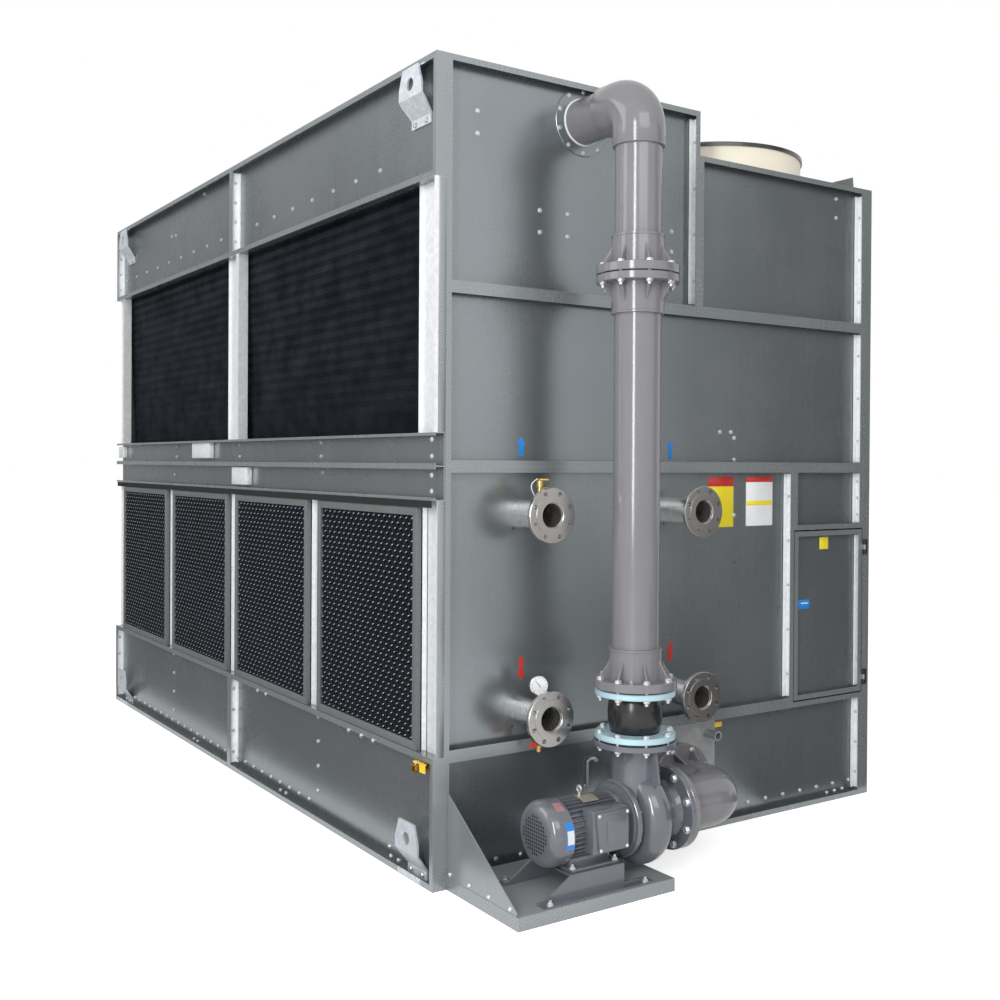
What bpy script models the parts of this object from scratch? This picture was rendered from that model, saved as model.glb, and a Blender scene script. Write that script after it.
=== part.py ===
# Closed-circuit cooling tower with a spray pump beside it.
#
# The casing stands on the floor. X runs to the right along the pump side, Y runs away along the air
# intake side and Z is up. The casing's own corner lines are used while modelling: X = 0 and Y = 0 meet
# at the corner beside the pump, and at the end everything is moved so that the origin lies under the
# middle of the whole unit.

import math

import bmesh
import bpy
from mathutils import Matrix, Vector

# A clean scene
for old in list(bpy.data.objects):
    bpy.data.objects.remove(old, do_unlink=True)

# Sizes of the casing, in metres
seat = 0.0003
merge_distance = 0.00001
weld = 0.001
sheet = 0.003
pan_depth = 0.048
pan_lip = 0.024
case_width = 2.449
case_length = 4.338
basin_height = 0.514
middle_seam = 1.641
upper_seam = 2.339
roof_height = 3.235
fan_step = 0.197
deck_height = roof_height - fan_step
step_x = 1.323
near_bay = case_length / 2
roof_thickness = 0.004
roof_overhang = 0.036
roof_edge = 0.025

# Access door at the right of the pump side
door_width = 0.499
small_panel_height = 0.301
door_left = case_width - door_width
door_top = middle_seam - small_panel_height
door_gap = 0.007
door_depth = 0.030
hinge_height = 0.074
hinge_offset = 0.010
hinge_radius = 0.008
pin_radius = 0.0045
pin_clearance = 0.0008
leaf_width = 0.032
leaf_thickness = 0.004
lower_hinge_rise = 0.078
upper_hinge_drop = 0.096
lower_hinge_z = basin_height + lower_hinge_rise
upper_hinge_z = door_top - upper_hinge_drop

# Air intake side
intake_top_height = 0.478
intake_top_z = roof_height - intake_top_height
upper_rail_height = 0.131
lower_rail_height = 0.133
rail_top = middle_seam + upper_rail_height
rail_bottom = middle_seam - lower_rail_height
corner_post_width = 0.186
middle_post_half = 0.117
far_post_width = 0.162
corner_post_lip = 0.012
middle_post_lip = 0.036
post_far_flange = 0.014
slim_post_depth = 0.026
slim_post_lip = 0.020
mullion_lip = 0.011
louvre_gap = 0.030
louvre_top = rail_bottom - louvre_gap
louvre_frame = 0.033
louvre_depth = 0.060
louvre_proud = 0.040
louvre_back = 0.006
ribbon_rows = 4
ribbon_waves = 4
ribbon_height = 0.012
ribbon_wall = 0.003
ribbon_setback = 0.004
louvre_count = 4
louvre_near_post = 0.150
louvre_far_post = 0.143
louvre_mullion = 0.115
louvre_pitch = (case_length - louvre_near_post - louvre_far_post + louvre_mullion) / louvre_count
louvre_width = louvre_pitch - louvre_mullion
rail_depth = 0.045
fill_setback = 0.006
frame_spine = 0.005
frame_tie = 0.012
fill_lean = 0.060
fill_depth = 1.150
fill_relief = 0.050
fill_rib_count = 6
fill_rib_steps = 4
fill_rib_wall = 0.006
fill_rib_wave = 0.012
eliminator_thickness = 0.120

# Lifting lugs
lug_width = 0.180
lug_thickness = 0.008
lug_reach = 0.060
lug_strip = 0.038
lug_slope = 0.070
lug_plate = 0.118
lug_taper = 0.030
lug_foot_inset = 0.015
lug_hole = 0.026
lug_hole_rise = 0.050
lug_from_corner = 0.185
lug_top_drop = 0.018
deck_lug_height = 0.067
deck_lug_near = 0.050
deck_lug_far = 0.270
deck_lug_top_near = 0.055
deck_lug_top_far = 0.220
deck_lug_edge = 0.028
deck_lug_foot = 0.061
deck_lug_sheet = 0.006

# Fans on the low roof
fan_side_margin = 0.101
fan_radius = (case_width - step_x) / 2 - fan_side_margin
fan_row_gap = 0.100
fan_count = int(case_length // (2 * fan_radius + fan_row_gap))
fan_wall = 0.004
fan_height = 0.140
fan_flange = 0.020
fan_lip = 0.014
fan_segments = 24
guard_bar = 0.007
guard_rings = 2
guard_spokes = 6
guard_thickness = 0.006
rotor_hub = 0.105
rotor_depth = 0.085
blade_count = 7
blade_tip_gap = 0.012
blade_root_chord = 0.120
blade_tip_chord = 0.105
blade_belly = 0.020
blade_root_pitch = 40.0
blade_tip_pitch = 22.0
blade_camber = 0.012
blade_thickness = 0.006
blade_sections = 3

# Pump set
pump_y = -0.320
pump_z = 0.265
riser_x = 0.690
platform_left = 0.015
platform_right = 0.752
platform_front = -0.490
platform_height = 0.050
platform_sheet = 0.005
gusset_height = 0.375
flange_radius = 0.165
pipe_radius = 0.0935
socket_radius = 0.102
base_top = 0.135
base_half = 0.120
base_foot = 0.040
base_sheet = 0.006
base_x0 = 0.285
base_x1 = 0.540
foot_x0 = 0.135
foot_x1 = 0.655
motor_rear = 0.205
terminal_rear = 0.365
terminal_front = 0.530
terminal_reach = 0.150
terminal_root = 0.085
terminal_lid = 0.015
terminal_low = -0.065
terminal_high = 0.100
terminal_slant = 0.030
terminal_chamfer = 0.008
cowl_length = 0.095
cowl_radius = 0.126
motor_front = 0.585
motor_radius = 0.116
fin_depth = 0.014
fin_count = 18
cover_radius = 0.150
volute_radius = 0.190
volute_half = 0.060
suction_flange_x = 0.950
suction_turn_x = 1.175
bend_radius = 0.112
discharge_top = 0.567
cast_flange = 0.022
stub_face_y = -0.040
suction_plate_left = 0.205
suction_plate_right = 0.300
suction_socket = 0.175
rubber_face = 0.006
rubber_inset = 0.030
rubber_neck = 0.096
pipe_segments = 16
bend_steps = 5
cowl_segments = 24
hub_segments = 16
hinge_segments = 12
coil_segments = 16
joint_flange_thickness = 0.024
joint_height = 0.206
bellows_radius = 0.113
plastic_flange = 0.034
hub_length = 0.115
rib_reach = 0.045
rib_rise = 0.075
rib_count = 8
bend_socket = 0.183
top_pipe_drop = 0.147
top_pipe_z = roof_height - top_pipe_drop
mid_joint_drop = 0.688
mid_joint_z = top_pipe_z - mid_joint_drop
wall_disc_radius = top_pipe_drop - sheet - 0.002

# Coil connections, one pair at each side of the riser
coil_near_x = 0.400
coil_far_x = 1.211
outlet_rise = 0.131
inlet_drop = 0.192
coil_low_z = basin_height + outlet_rise
coil_high_z = middle_seam - inlet_drop
coil_pipe_radius = 0.056
coil_bore_radius = 0.050
coil_flange_radius = 0.110
coil_flange_thickness = 0.022
coil_reach = 0.160
coil_bolt_radius = 0.090
coil_bolt_hole = 0.009
coil_disc_radius = 0.085
coil_bolt_count = 8
coil_face_radius = 0.079
coil_face_height = 0.003

# Drain valve under the near low coil pipe
drain_y = -0.072
drain_drop = 0.052
drain_length = 0.036
drain_body_radius = 0.015
drain_lever_length = 0.060
lever_clearance = 0.0006
lever_lift = 0.0055

# Quarter-turn valve on the intake side of the basin
valve_y = 0.100
valve_drop = 0.054
valve_z = basin_height - valve_drop
valve_radius = 0.016
valve_cap = 0.020
valve_nut = 0.034
valve_mouth = 0.078
valve_bore_depth = 0.030
valve_stem_out = 0.066
valve_lever_length = 0.070
valve_grip_start = 0.030
valve_grip_drop = 0.036

# Overflow nipple on the suction plate
nipple_offset = 0.255
nipple_drop = 0.090

inner_front = pan_depth + seat
inner_back = case_length - pan_depth - seat
web_front_y = pan_depth - sheet

# Helpers


def material(name, colour, roughness, metallic):
    mat = bpy.data.materials.new(name)
    mat.use_nodes = True
    shader = mat.node_tree.nodes["Principled BSDF"]
    shader.inputs["Base Color"].default_value = (*colour, 1.0)
    shader.inputs["Roughness"].default_value = roughness
    shader.inputs["Metallic"].default_value = metallic
    mat.diffuse_color = (*colour, 1.0)
    return mat


slate_steel = material("slate_steel", (0.150, 0.175, 0.190), 0.36, 0.55)
galvanised = material("galvanised", (0.480, 0.500, 0.510), 0.40, 0.80)
stainless = material("stainless", (0.420, 0.390, 0.370), 0.28, 0.95)
grey_plastic = material("grey_plastic", (0.190, 0.180, 0.185), 0.30, 0.0)
pump_paint = material("pump_paint", (0.075, 0.075, 0.085), 0.38, 0.15)
black_rubber = material("black_rubber", (0.015, 0.015, 0.016), 0.55, 0.0)
pale_blue = material("pale_blue", (0.420, 0.620, 0.680), 0.45, 0.1)
cream_shell = material("cream_shell", (0.760, 0.690, 0.560), 0.42, 0.0)
black_fill = material("black_fill", (0.012, 0.014, 0.020), 0.50, 0.0)
black_coated = material("black_coated", (0.020, 0.021, 0.023), 0.40, 0.2)
brass = material("brass", (0.600, 0.430, 0.160), 0.35, 0.9)
yellow_plastic = material("yellow_plastic", (0.850, 0.560, 0.030), 0.45, 0.0)
red_plastic = material("red_plastic", (0.750, 0.050, 0.025), 0.45, 0.0)


def node(name, bm, mat, origin=(0.0, 0.0, 0.0), smooth=None):
    """Turns a finished bmesh into a named sub-part."""
    bmesh.ops.recalc_face_normals(bm, faces=bm.faces)
    offset = Vector(origin)
    bmesh.ops.translate(bm, verts=bm.verts, vec=-offset)
    mesh = bpy.data.meshes.new(name)
    bm.to_mesh(mesh)
    bm.free()
    mesh.materials.append(mat)
    if smooth is not None:
        mesh.shade_smooth()
        mesh.set_sharp_from_angle(angle=math.radians(smooth))
    obj = bpy.data.objects.new(name, mesh)
    obj.location = offset
    bpy.context.scene.collection.objects.link(obj)
    return obj


def box(bm, x, y, z):
    """A block between two values on each axis."""
    made = bmesh.ops.create_cube(bm, size=1.0)["verts"]
    size = Vector((x[1] - x[0], y[1] - y[0], z[1] - z[0]))
    middle = Vector((x[0] + x[1], y[0] + y[1], z[0] + z[1])) / 2
    bmesh.ops.scale(bm, verts=made, vec=size)
    bmesh.ops.translate(bm, verts=made, vec=middle)
    return made


def block(x, y, z):
    bm = bmesh.new()
    box(bm, x, y, z)
    return bm


def prism(outline, place, thickness):
    """An outline given by (u, v) points, pushed along the third direction of place."""
    bm = bmesh.new()
    face = bm.faces.new([bm.verts.new((u, v, 0.0)) for u, v in outline])
    grown = bmesh.ops.extrude_face_region(bm, geom=[face])["geom"]
    top = [item for item in grown if isinstance(item, bmesh.types.BMVert)]
    bmesh.ops.translate(bm, verts=top, vec=(0.0, 0.0, thickness))
    bmesh.ops.transform(bm, matrix=place, verts=bm.verts)
    bmesh.ops.recalc_face_normals(bm, faces=bm.faces)
    return bm


def axes(origin, u, v, w):
    """A placing matrix whose columns are the three given directions."""
    turn = Matrix((Vector(u), Vector(v), Vector(w))).transposed().to_4x4()
    return Matrix.Translation(Vector(origin)) @ turn


def turned(profile, segments, place=None, closed=True):
    """A profile of (radius, height) points spun once round the third axis."""
    bm = bmesh.new()
    verts = [bm.verts.new((radius, 0.0, height)) for radius, height in profile]
    edges = [bm.edges.new((verts[i], verts[i + 1])) for i in range(len(verts) - 1)]
    if closed:
        edges.append(bm.edges.new((verts[-1], verts[0])))
    bmesh.ops.spin(bm, geom=verts + edges, cent=(0, 0, 0), axis=(0, 0, 1), dvec=(0, 0, 0),
                   angle=math.tau, steps=segments, use_merge=True, use_duplicate=False)
    bmesh.ops.remove_doubles(bm, verts=bm.verts, dist=merge_distance)
    if place is not None:
        bmesh.ops.transform(bm, matrix=place, verts=bm.verts)
    bmesh.ops.recalc_face_normals(bm, faces=bm.faces)
    return bm


def rod(radius, z0, z1, segments, place=None):
    return turned([(0.0, z0), (radius, z0), (radius, z1), (0.0, z1)], segments, place, closed=False)


def combine(first, others, operation="UNION"):
    """Joins or cuts closed shapes with exact booleans and gives back one bmesh."""
    holder = []
    for bm in [first] + list(others):
        mesh = bpy.data.meshes.new("shape")
        bmesh.ops.recalc_face_normals(bm, faces=bm.faces)
        bm.to_mesh(mesh)
        bm.free()
        obj = bpy.data.objects.new("shape", mesh)
        bpy.context.scene.collection.objects.link(obj)
        holder.append(obj)
    base = holder[0]
    for other in holder[1:]:
        step = base.modifiers.new("join", "BOOLEAN")
        step.operation = operation
        step.solver = "EXACT"
        step.object = other
    bpy.context.view_layer.update()
    graph = bpy.context.evaluated_depsgraph_get()
    result = bpy.data.meshes.new_from_object(base.evaluated_get(graph))
    bm = bmesh.new()
    bm.from_mesh(result)
    for obj in holder:
        bpy.data.objects.remove(obj, do_unlink=True)
    bpy.data.meshes.remove(result)
    bmesh.ops.remove_doubles(bm, verts=bm.verts, dist=merge_distance)
    bmesh.ops.dissolve_degenerate(bm, edges=bm.edges, dist=merge_distance)
    return bm


def pan(us, vs, place, depth=pan_depth, lip=pan_lip):
    """Folded sheet panels side by side: a web behind, flanges out to the front and returned lips.

    us and vs are the seam lines across and up. place maps (across, up, inward) into the casing.
    """
    bm = bmesh.new()
    known = {}

    def vert(u, v, w):
        key = (round(u, 6), round(v, 6), round(w, 6))
        if key not in known:
            known[key] = bm.verts.new(key)
        return known[key]

    def lines(seams):
        marks = []
        for low, high in zip(seams[:-1], seams[1:]):
            marks += [low, low + lip, high - lip]
        return marks + [seams[-1]]

    u_lines = lines(us)
    v_lines = lines(vs)
    for i in range(len(u_lines) - 1):
        for j in range(len(v_lines) - 1):
            if i % 3 == 1 and j % 3 == 1:
                continue
            bm.faces.new([vert(u_lines[a], v_lines[b], 0.0)
                          for a, b in ((i, j), (i + 1, j), (i + 1, j + 1), (i, j + 1))])
    for i in range(len(us) - 1):
        for j in range(len(vs) - 1):
            rings = []
            for inset, inward in ((lip, 0.0), (lip, sheet), (sheet, sheet), (sheet, depth - sheet)):
                u0, u1 = us[i] + inset, us[i + 1] - inset
                v0, v1 = vs[j] + inset, vs[j + 1] - inset
                rings.append([vert(u, v, inward) for u, v in ((u0, v0), (u1, v0), (u1, v1), (u0, v1))])
            for outer, inner in zip(rings[:-1], rings[1:]):
                for k in range(4):
                    n = (k + 1) % 4
                    bm.faces.new((outer[k], outer[n], inner[n], inner[k]))
            bm.faces.new(rings[-1])
    corners = [vert(u, v, depth) for u, v in ((us[0], vs[0]), (us[-1], vs[0]), (us[-1], vs[-1]),
                                              (us[0], vs[-1]))]
    bm.faces.new(corners)
    sides = [[(u, vs[0]) for u in u_lines], [(us[-1], v) for v in v_lines],
             [(u, vs[-1]) for u in reversed(u_lines)], [(us[0], v) for v in reversed(v_lines)]]
    for k, side in enumerate(sides):
        front = [vert(u, v, 0.0) for u, v in side]
        bm.faces.new(front + [corners[(k + 1) % 4], corners[k]])
    bmesh.ops.transform(bm, matrix=place, verts=bm.verts)
    bmesh.ops.recalc_face_normals(bm, faces=bm.faces)
    return bm


front_place = axes((0, 0, 0), (1, 0, 0), (0, 0, 1), (0, 1, 0))
left_place = axes((-pan_depth, 0, 0), (0, 1, 0), (0, 0, 1), (1, 0, 0))
right_place = axes((case_width + pan_depth, 0, 0), (0, 1, 0), (0, 0, 1), (-1, 0, 0))
back_place = axes((0, case_length, 0), (1, 0, 0), (0, 0, 1), (0, -1, 0))


def lug(y_mid, z0):
    """A cranked lifting plate: a strip on the web, a slope outwards and a tapered plate with a hole."""
    start = -(sheet - 0.001)
    t = lug_thickness
    out = lug_reach - t
    bend_z = lug_strip + lug_slope
    top_z = bend_z + lug_plate
    rise = t * (math.hypot(lug_slope, out) - lug_slope) / out
    outline = [(0.0, 0.0), (0.0, lug_strip), (-out, bend_z), (-out, top_z), (-lug_reach, top_z),
               (-lug_reach, bend_z - rise), (-t, lug_strip - rise), (-t, 0.0)]
    half = lug_width / 2
    plate = prism(outline, axes((start, y_mid - half, z0), (1, 0, 0), (0, 0, 1), (0, 1, 0)), lug_width)
    hole_centre = (start, y_mid, z0 + bend_z + lug_hole_rise)
    cutters = [rod(lug_hole, -0.2, 0.2, 16, axes(hole_centre, (0, 1, 0), (0, 0, 1), (1, 0, 0)))]
    side_place = axes((-0.2, y_mid, z0), (0, 1, 0), (0, 0, 1), (1, 0, 0))
    for side in (-1, 1):
        outside = side * (half + 0.02)
        shoulder = [(side * half, bend_z + lug_plate * 0.35), (side * (half - lug_taper), top_z + 0.002),
                    (outside, top_z + 0.002), (outside, bend_z + lug_plate * 0.35)]
        foot = [(side * half, bend_z - lug_slope * 0.3), (side * (half - lug_foot_inset), lug_strip * 0.8),
                (side * (half - lug_foot_inset), -0.002), (outside, -0.002),
                (outside, bend_z - lug_slope * 0.3)]
        cutters += [prism(shoulder, side_place, 0.4), prism(foot, side_place, 0.4)]
    return combine(plate, cutters, "DIFFERENCE")


# Basin: floor sheet and the tray-shaped walls round it
node("basin_floor", block((seat, case_width - seat), (inner_front, inner_back), (0.0, roof_thickness)),
     galvanised)
node("basin_front", pan([seat, case_width - seat], [0.0, basin_height - seat], front_place), slate_steel)
near_lug_y = lug_from_corner
far_lug_y = case_length - near_lug_y
low_lug_z = sheet + 0.001
for name, across, lug_y in (("basin_left_near", [0.0, near_bay - seat], near_lug_y),
                            ("basin_left_far", [near_bay, case_length], far_lug_y)):
    wall = pan(across, [0.0, basin_height - seat], left_place)
    bmesh.ops.translate(wall, verts=wall.verts, vec=(-seat, 0, 0))
    node(name, combine(wall, [lug(lug_y, low_lug_z)]), slate_steel)

# Pump side: the panels, storey by storey
front_rows = (("front_lower_panel", (seat, door_left - seat), (basin_height, middle_seam - seat)),
              ("front_small_panel", (door_left, case_width - seat), (door_top, middle_seam - seat)),
              ("front_middle_panel", (seat, case_width - seat), (middle_seam, upper_seam - seat)),
              ("front_upper_panel", (seat, step_x - seat), (upper_seam, roof_height)),
              ("fan_section_front", (step_x, case_width - seat), (upper_seam, deck_height)))
for name, across, up in front_rows:
    node(name, pan(list(across), list(up), front_place), slate_steel)

# Access door with its own hinge leaves; it turns about an upright axis at its right edge
hinge_x = case_width
hinge_y = -hinge_offset


def knuckle(z0, z1, bore):
    place = axes((hinge_x, hinge_y, 0), (1, 0, 0), (0, 1, 0), (0, 0, 1))
    if bore:
        inner = pin_radius + pin_clearance
        return turned([(inner, z0), (hinge_radius, z0), (hinge_radius, z1), (inner, z1)], hinge_segments,
                      place)
    return rod(hinge_radius, z0, z1, hinge_segments, place)


door_z0 = basin_height + door_gap
door_z1 = door_top - door_gap
door_x0 = door_left + door_gap
door_x1 = case_width - door_gap
door_parts = []
for z_mid in (lower_hinge_z, upper_hinge_z):
    third = hinge_height / 3
    low = z_mid - third / 2 + 0.0006
    high = z_mid + third / 2 - 0.0006
    door_parts.append(block((hinge_x - leaf_width, hinge_x - hinge_radius * 0.75),
                            (-leaf_thickness, 0.001), (z_mid - hinge_height / 2, z_mid + hinge_height / 2)))
    door_parts.append(block((hinge_x - leaf_width * 0.5, hinge_x - pin_radius - pin_clearance - 0.0012),
                            (-leaf_thickness - 0.003, -0.002), (low, high)))
    door_parts.append(knuckle(low, high, True))
door_shell = pan([door_x0, door_x1], [door_z0, door_z1], front_place, depth=door_depth)
node("access_door", combine(door_shell, door_parts), slate_steel, origin=(hinge_x, hinge_y, door_z0))

# The fixed hinge halves on the edge of the right wall, each with its pin
for name, z_mid in (("door_hinge_lower", lower_hinge_z), ("door_hinge_upper", upper_hinge_z)):
    third = hinge_height / 3
    z0 = z_mid - hinge_height / 2
    z1 = z_mid + hinge_height / 2
    leaf = block((hinge_x + hinge_radius * 0.75, hinge_x + leaf_width), (-leaf_thickness, -seat), (z0, z1))
    fixed_parts = []
    for a, b in ((z0, z_mid - third / 2), (z_mid + third / 2, z1)):
        fixed_parts.append(block((hinge_x + 0.002, hinge_x + leaf_width * 0.5),
                                 (-leaf_thickness - 0.003, -0.0025),
                                 (a + 0.0010, b - 0.0010)))
        fixed_parts.append(knuckle(a + 0.0004, b - 0.0004, False))
    place = axes((hinge_x, hinge_y, 0), (1, 0, 0), (0, 1, 0), (0, 0, 1))
    fixed_parts.append(rod(pin_radius, z0 + 0.003, z1 - 0.003, hinge_segments, place))
    node(name, combine(leaf, fixed_parts), black_coated)

# Right and back walls: the same storeys repeated
wall_rows = [0.0, basin_height, middle_seam, upper_seam, deck_height]
node("right_wall", pan([0.0, near_bay, case_length], wall_rows, right_place), slate_steel)
node("back_wall", pan([seat, case_width - seat], wall_rows[:-2] + [upper_seam - seat], back_place),
     slate_steel)
node("back_upper_panel", pan([seat, step_x - seat], [upper_seam, roof_height], back_place), slate_steel)
node("fan_section_back", pan([step_x, case_width - seat], [upper_seam, deck_height], back_place),
     slate_steel)

# Air intake side: blank panels at the top, posts, rails and the louvres
lug_top_z = roof_height - lug_top_drop - lug_strip - lug_slope - lug_plate
for name, across, lug_y in (("intake_top_near", [0.0, near_bay - seat], near_lug_y),
                            ("intake_top_far", [near_bay, case_length], far_lug_y)):
    blank = pan(across, [intake_top_z, roof_height], left_place)
    bmesh.ops.translate(blank, verts=blank.verts, vec=(-seat, 0, 0))
    node(name, combine(blank, [lug(lug_y, lug_top_z)]), slate_steel)


def channel_post(y0, y1, z0, z1, depth, lip):
    """An upright channel open outwards: a deep near flange with a lip, a web and a shallow far flange."""
    outline = [(y0, 0.0), (y0, -depth), (y0 + lip, -depth), (y0 + lip, -depth + sheet),
               (y0 + sheet, -depth + sheet),
               (y0 + sheet, -sheet), (y1 - sheet, -sheet), (y1 - sheet, -post_far_flange),
               (y1, -post_far_flange),
               (y1, 0.0)]
    place = axes((-seat, 0, z0), (0, 1, 0), (1, 0, 0), (0, 0, 1))
    return prism(outline, place, z1 - z0)


upper_z = (rail_top, intake_top_z - seat)
corner_post = (0.0, corner_post_width)
middle_post = (near_bay - middle_post_half, near_bay + middle_post_half)
far_post = (case_length - far_post_width, case_length)
frame_parts = [channel_post(*corner_post, *upper_z, pan_depth, corner_post_lip),
               channel_post(*middle_post, *upper_z, pan_depth, middle_post_lip),
               channel_post(*far_post, *upper_z, pan_depth, corner_post_lip)]
# a spine behind each post runs down past the rails and ties the frame together
spine_z0 = louvre_top + 0.004
for a, b in (corner_post, middle_post, far_post):
    y0 = max(a + weld, inner_front)
    y1 = min(b - weld, inner_back)
    frame_parts.append(block((-seat - weld, frame_spine), (y0, y1), (spine_z0, intake_top_z - seat - weld)))


def rail(z0, z1):
    """A long channel on its side, open outwards."""
    flange = pan_lip * 0.5
    outline = [(0.0, z0), (0.0, z1), (-rail_depth, z1), (-rail_depth, z1 - flange),
               (-rail_depth + sheet, z1 - flange),
               (-rail_depth + sheet, z1 - sheet), (-sheet, z1 - sheet), (-sheet, z0 + sheet),
               (-rail_depth + sheet, z0 + sheet), (-rail_depth + sheet, z0 + flange),
               (-rail_depth, z0 + flange),
               (-rail_depth, z0)]
    place = axes((-2 * seat - 0.001, 0.0, 0.0), (1, 0, 0), (0, 0, 1), (0, 1, 0))
    return prism(outline, place, case_length)


node("intake_rails", combine(rail(middle_seam - 0.0005, rail_top - seat),
                             [rail(rail_bottom, middle_seam + 0.0005)]), slate_steel)

# Louvre panels between slim posts, on top of the basin wall
frame_z0 = basin_height
frame_z1 = rail_bottom - seat
louvre_starts = [louvre_near_post + k * louvre_pitch for k in range(louvre_count)]
louvre_spans = [(y, y + louvre_width) for y in louvre_starts]
lower_posts = [channel_post(0.0, louvre_near_post - seat, frame_z0, frame_z1, slim_post_depth,
                            slim_post_lip)]
for left, right in zip(louvre_spans[:-1], louvre_spans[1:]):
    lower_posts.append(channel_post(left[1] + seat, right[0] - seat, frame_z0, frame_z1, slim_post_depth,
                                    mullion_lip))
lower_posts.append(channel_post(louvre_spans[-1][1] + seat, case_length, frame_z0, frame_z1,
                                slim_post_depth,
                                mullion_lip))
tie_beam = block((-frame_tie - seat, frame_spine - weld), (inner_front + weld, inner_back - weld),
                 (spine_z0 + weld, frame_z1 - weld))
node("intake_frame", combine(tie_beam, lower_posts + frame_parts), galvanised)


def wavy_ribbon(y0, y1, z_mid, phase):
    """One ribbon of the honeycomb: a zigzag band across the opening."""
    steps = 2 * ribbon_waves
    line = []
    for k in range(steps + 1):
        high = (k + phase) % 2
        line.append((y0 + (y1 - y0) * k / steps, z_mid + (ribbon_height if high else -ribbon_height)))
    outline = line + [(y, z - ribbon_wall) for y, z in reversed(line)]
    start = ribbon_setback - louvre_proud
    place = axes((start, 0, 0), (0, 1, 0), (0, 0, 1), (1, 0, 0))
    return prism(outline, place, louvre_depth - louvre_back + 0.001 - ribbon_setback)


# Each louvre is a frame with a deep pocket, crossed by wavy ribbons with open channels between them
for k, (y0, y1) in enumerate(louvre_spans):
    f = louvre_frame
    x0 = -louvre_proud
    z0 = frame_z0 + seat
    outer = block((x0, x0 + louvre_depth), (y0, y1), (z0, louvre_top))
    pocket = block((x0 - 0.02, x0 + louvre_depth - louvre_back), (y0 + f, y1 - f), (z0 + f, louvre_top - f))
    panel = combine(outer, [pocket], "DIFFERENCE")
    row_pitch = (louvre_top - z0 - 2 * f) / ribbon_rows
    ribbons = [wavy_ribbon(y0 + f - 0.002, y1 - f + 0.002, z0 + f + row_pitch * (row + 0.5), row % 2)
               for row in range(ribbon_rows)]
    node("louvre_%d" % (k + 1), combine(panel, ribbons), black_fill)

# Fill packs behind the open bays; their faces lean inwards towards the bottom
fill_z0 = middle_seam
fill_z1 = roof_height - roof_thickness - 0.002


def fill_pack(y0, y1):
    """A closed pack with upright zigzag ribs in front, cut so that they lean in towards the bottom."""
    back = fill_setback + fill_depth
    face = fill_setback + fill_relief
    outline = [(face, fill_z1), (face + fill_lean, fill_z0), (back, fill_z0), (back, fill_z1)]
    body = prism(outline, axes((0, y0, 0), (1, 0, 0), (0, 0, 1), (0, 1, 0)), y1 - y0)
    low, high = fill_z0 + 0.001, fill_z1 - 0.001
    ribs_up = []
    for k in range(fill_rib_count):
        y_mid = y0 + (y1 - y0) * (k + 0.5) / fill_rib_count
        line = [(y_mid + (fill_rib_wave if step % 2 else -fill_rib_wave),
                 low + (high - low) * step / fill_rib_steps)
                for step in range(fill_rib_steps + 1)]
        band = line + [(y + fill_rib_wall, z) for y, z in reversed(line)]
        ribs_up.append(prism(band, axes((fill_setback, 0, 0), (0, 1, 0), (0, 0, 1), (1, 0, 0)),
                             fill_relief + fill_lean + 0.002))
    whole = combine(body, ribs_up)
    ahead = fill_setback - 0.020
    wedge = [(ahead, fill_z0 - 0.010), (fill_setback + fill_lean, fill_z0 - 0.010),
             (fill_setback + fill_lean, fill_z0),
             (fill_setback, fill_z1), (fill_setback, fill_z1 + 0.010), (ahead, fill_z1 + 0.010)]
    trim = prism(wedge, axes((0, y0 - 0.010, 0), (1, 0, 0), (0, 0, 1), (0, 1, 0)), y1 - y0 + 0.020)
    return combine(whole, [trim], "DIFFERENCE")


node("fill_near", fill_pack(inner_front, near_bay - seat), black_fill)
node("fill_far", fill_pack(near_bay, inner_back), black_fill)
eliminator_x0 = step_x - eliminator_thickness
node("drift_eliminator", block((eliminator_x0, step_x - sheet), (inner_front, inner_back),
                               (roof_thickness + seat, roof_height - roof_thickness - seat)), black_fill)

# Coil section behind the louvres, below the fill
node("coil_block", block((louvre_depth - louvre_proud + 0.05, eliminator_x0 - seat),
                         (inner_front, inner_back),
                         (roof_thickness + seat, fill_z0 - seat)), galvanised)

# High roof with its edge over the step, and the fan deck
roof_sheet = block((seat, step_x), (inner_front, inner_back), (roof_height - roof_thickness, roof_height))
step_wall = block((step_x, step_x + sheet), (inner_front, inner_back), (deck_height + seat, roof_height))
overhang = block((step_x - 0.001, step_x + roof_overhang), (inner_front, inner_back),
                 (roof_height - roof_edge, roof_height))
node("high_roof", combine(roof_sheet, [step_wall, overhang]), slate_steel)

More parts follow.
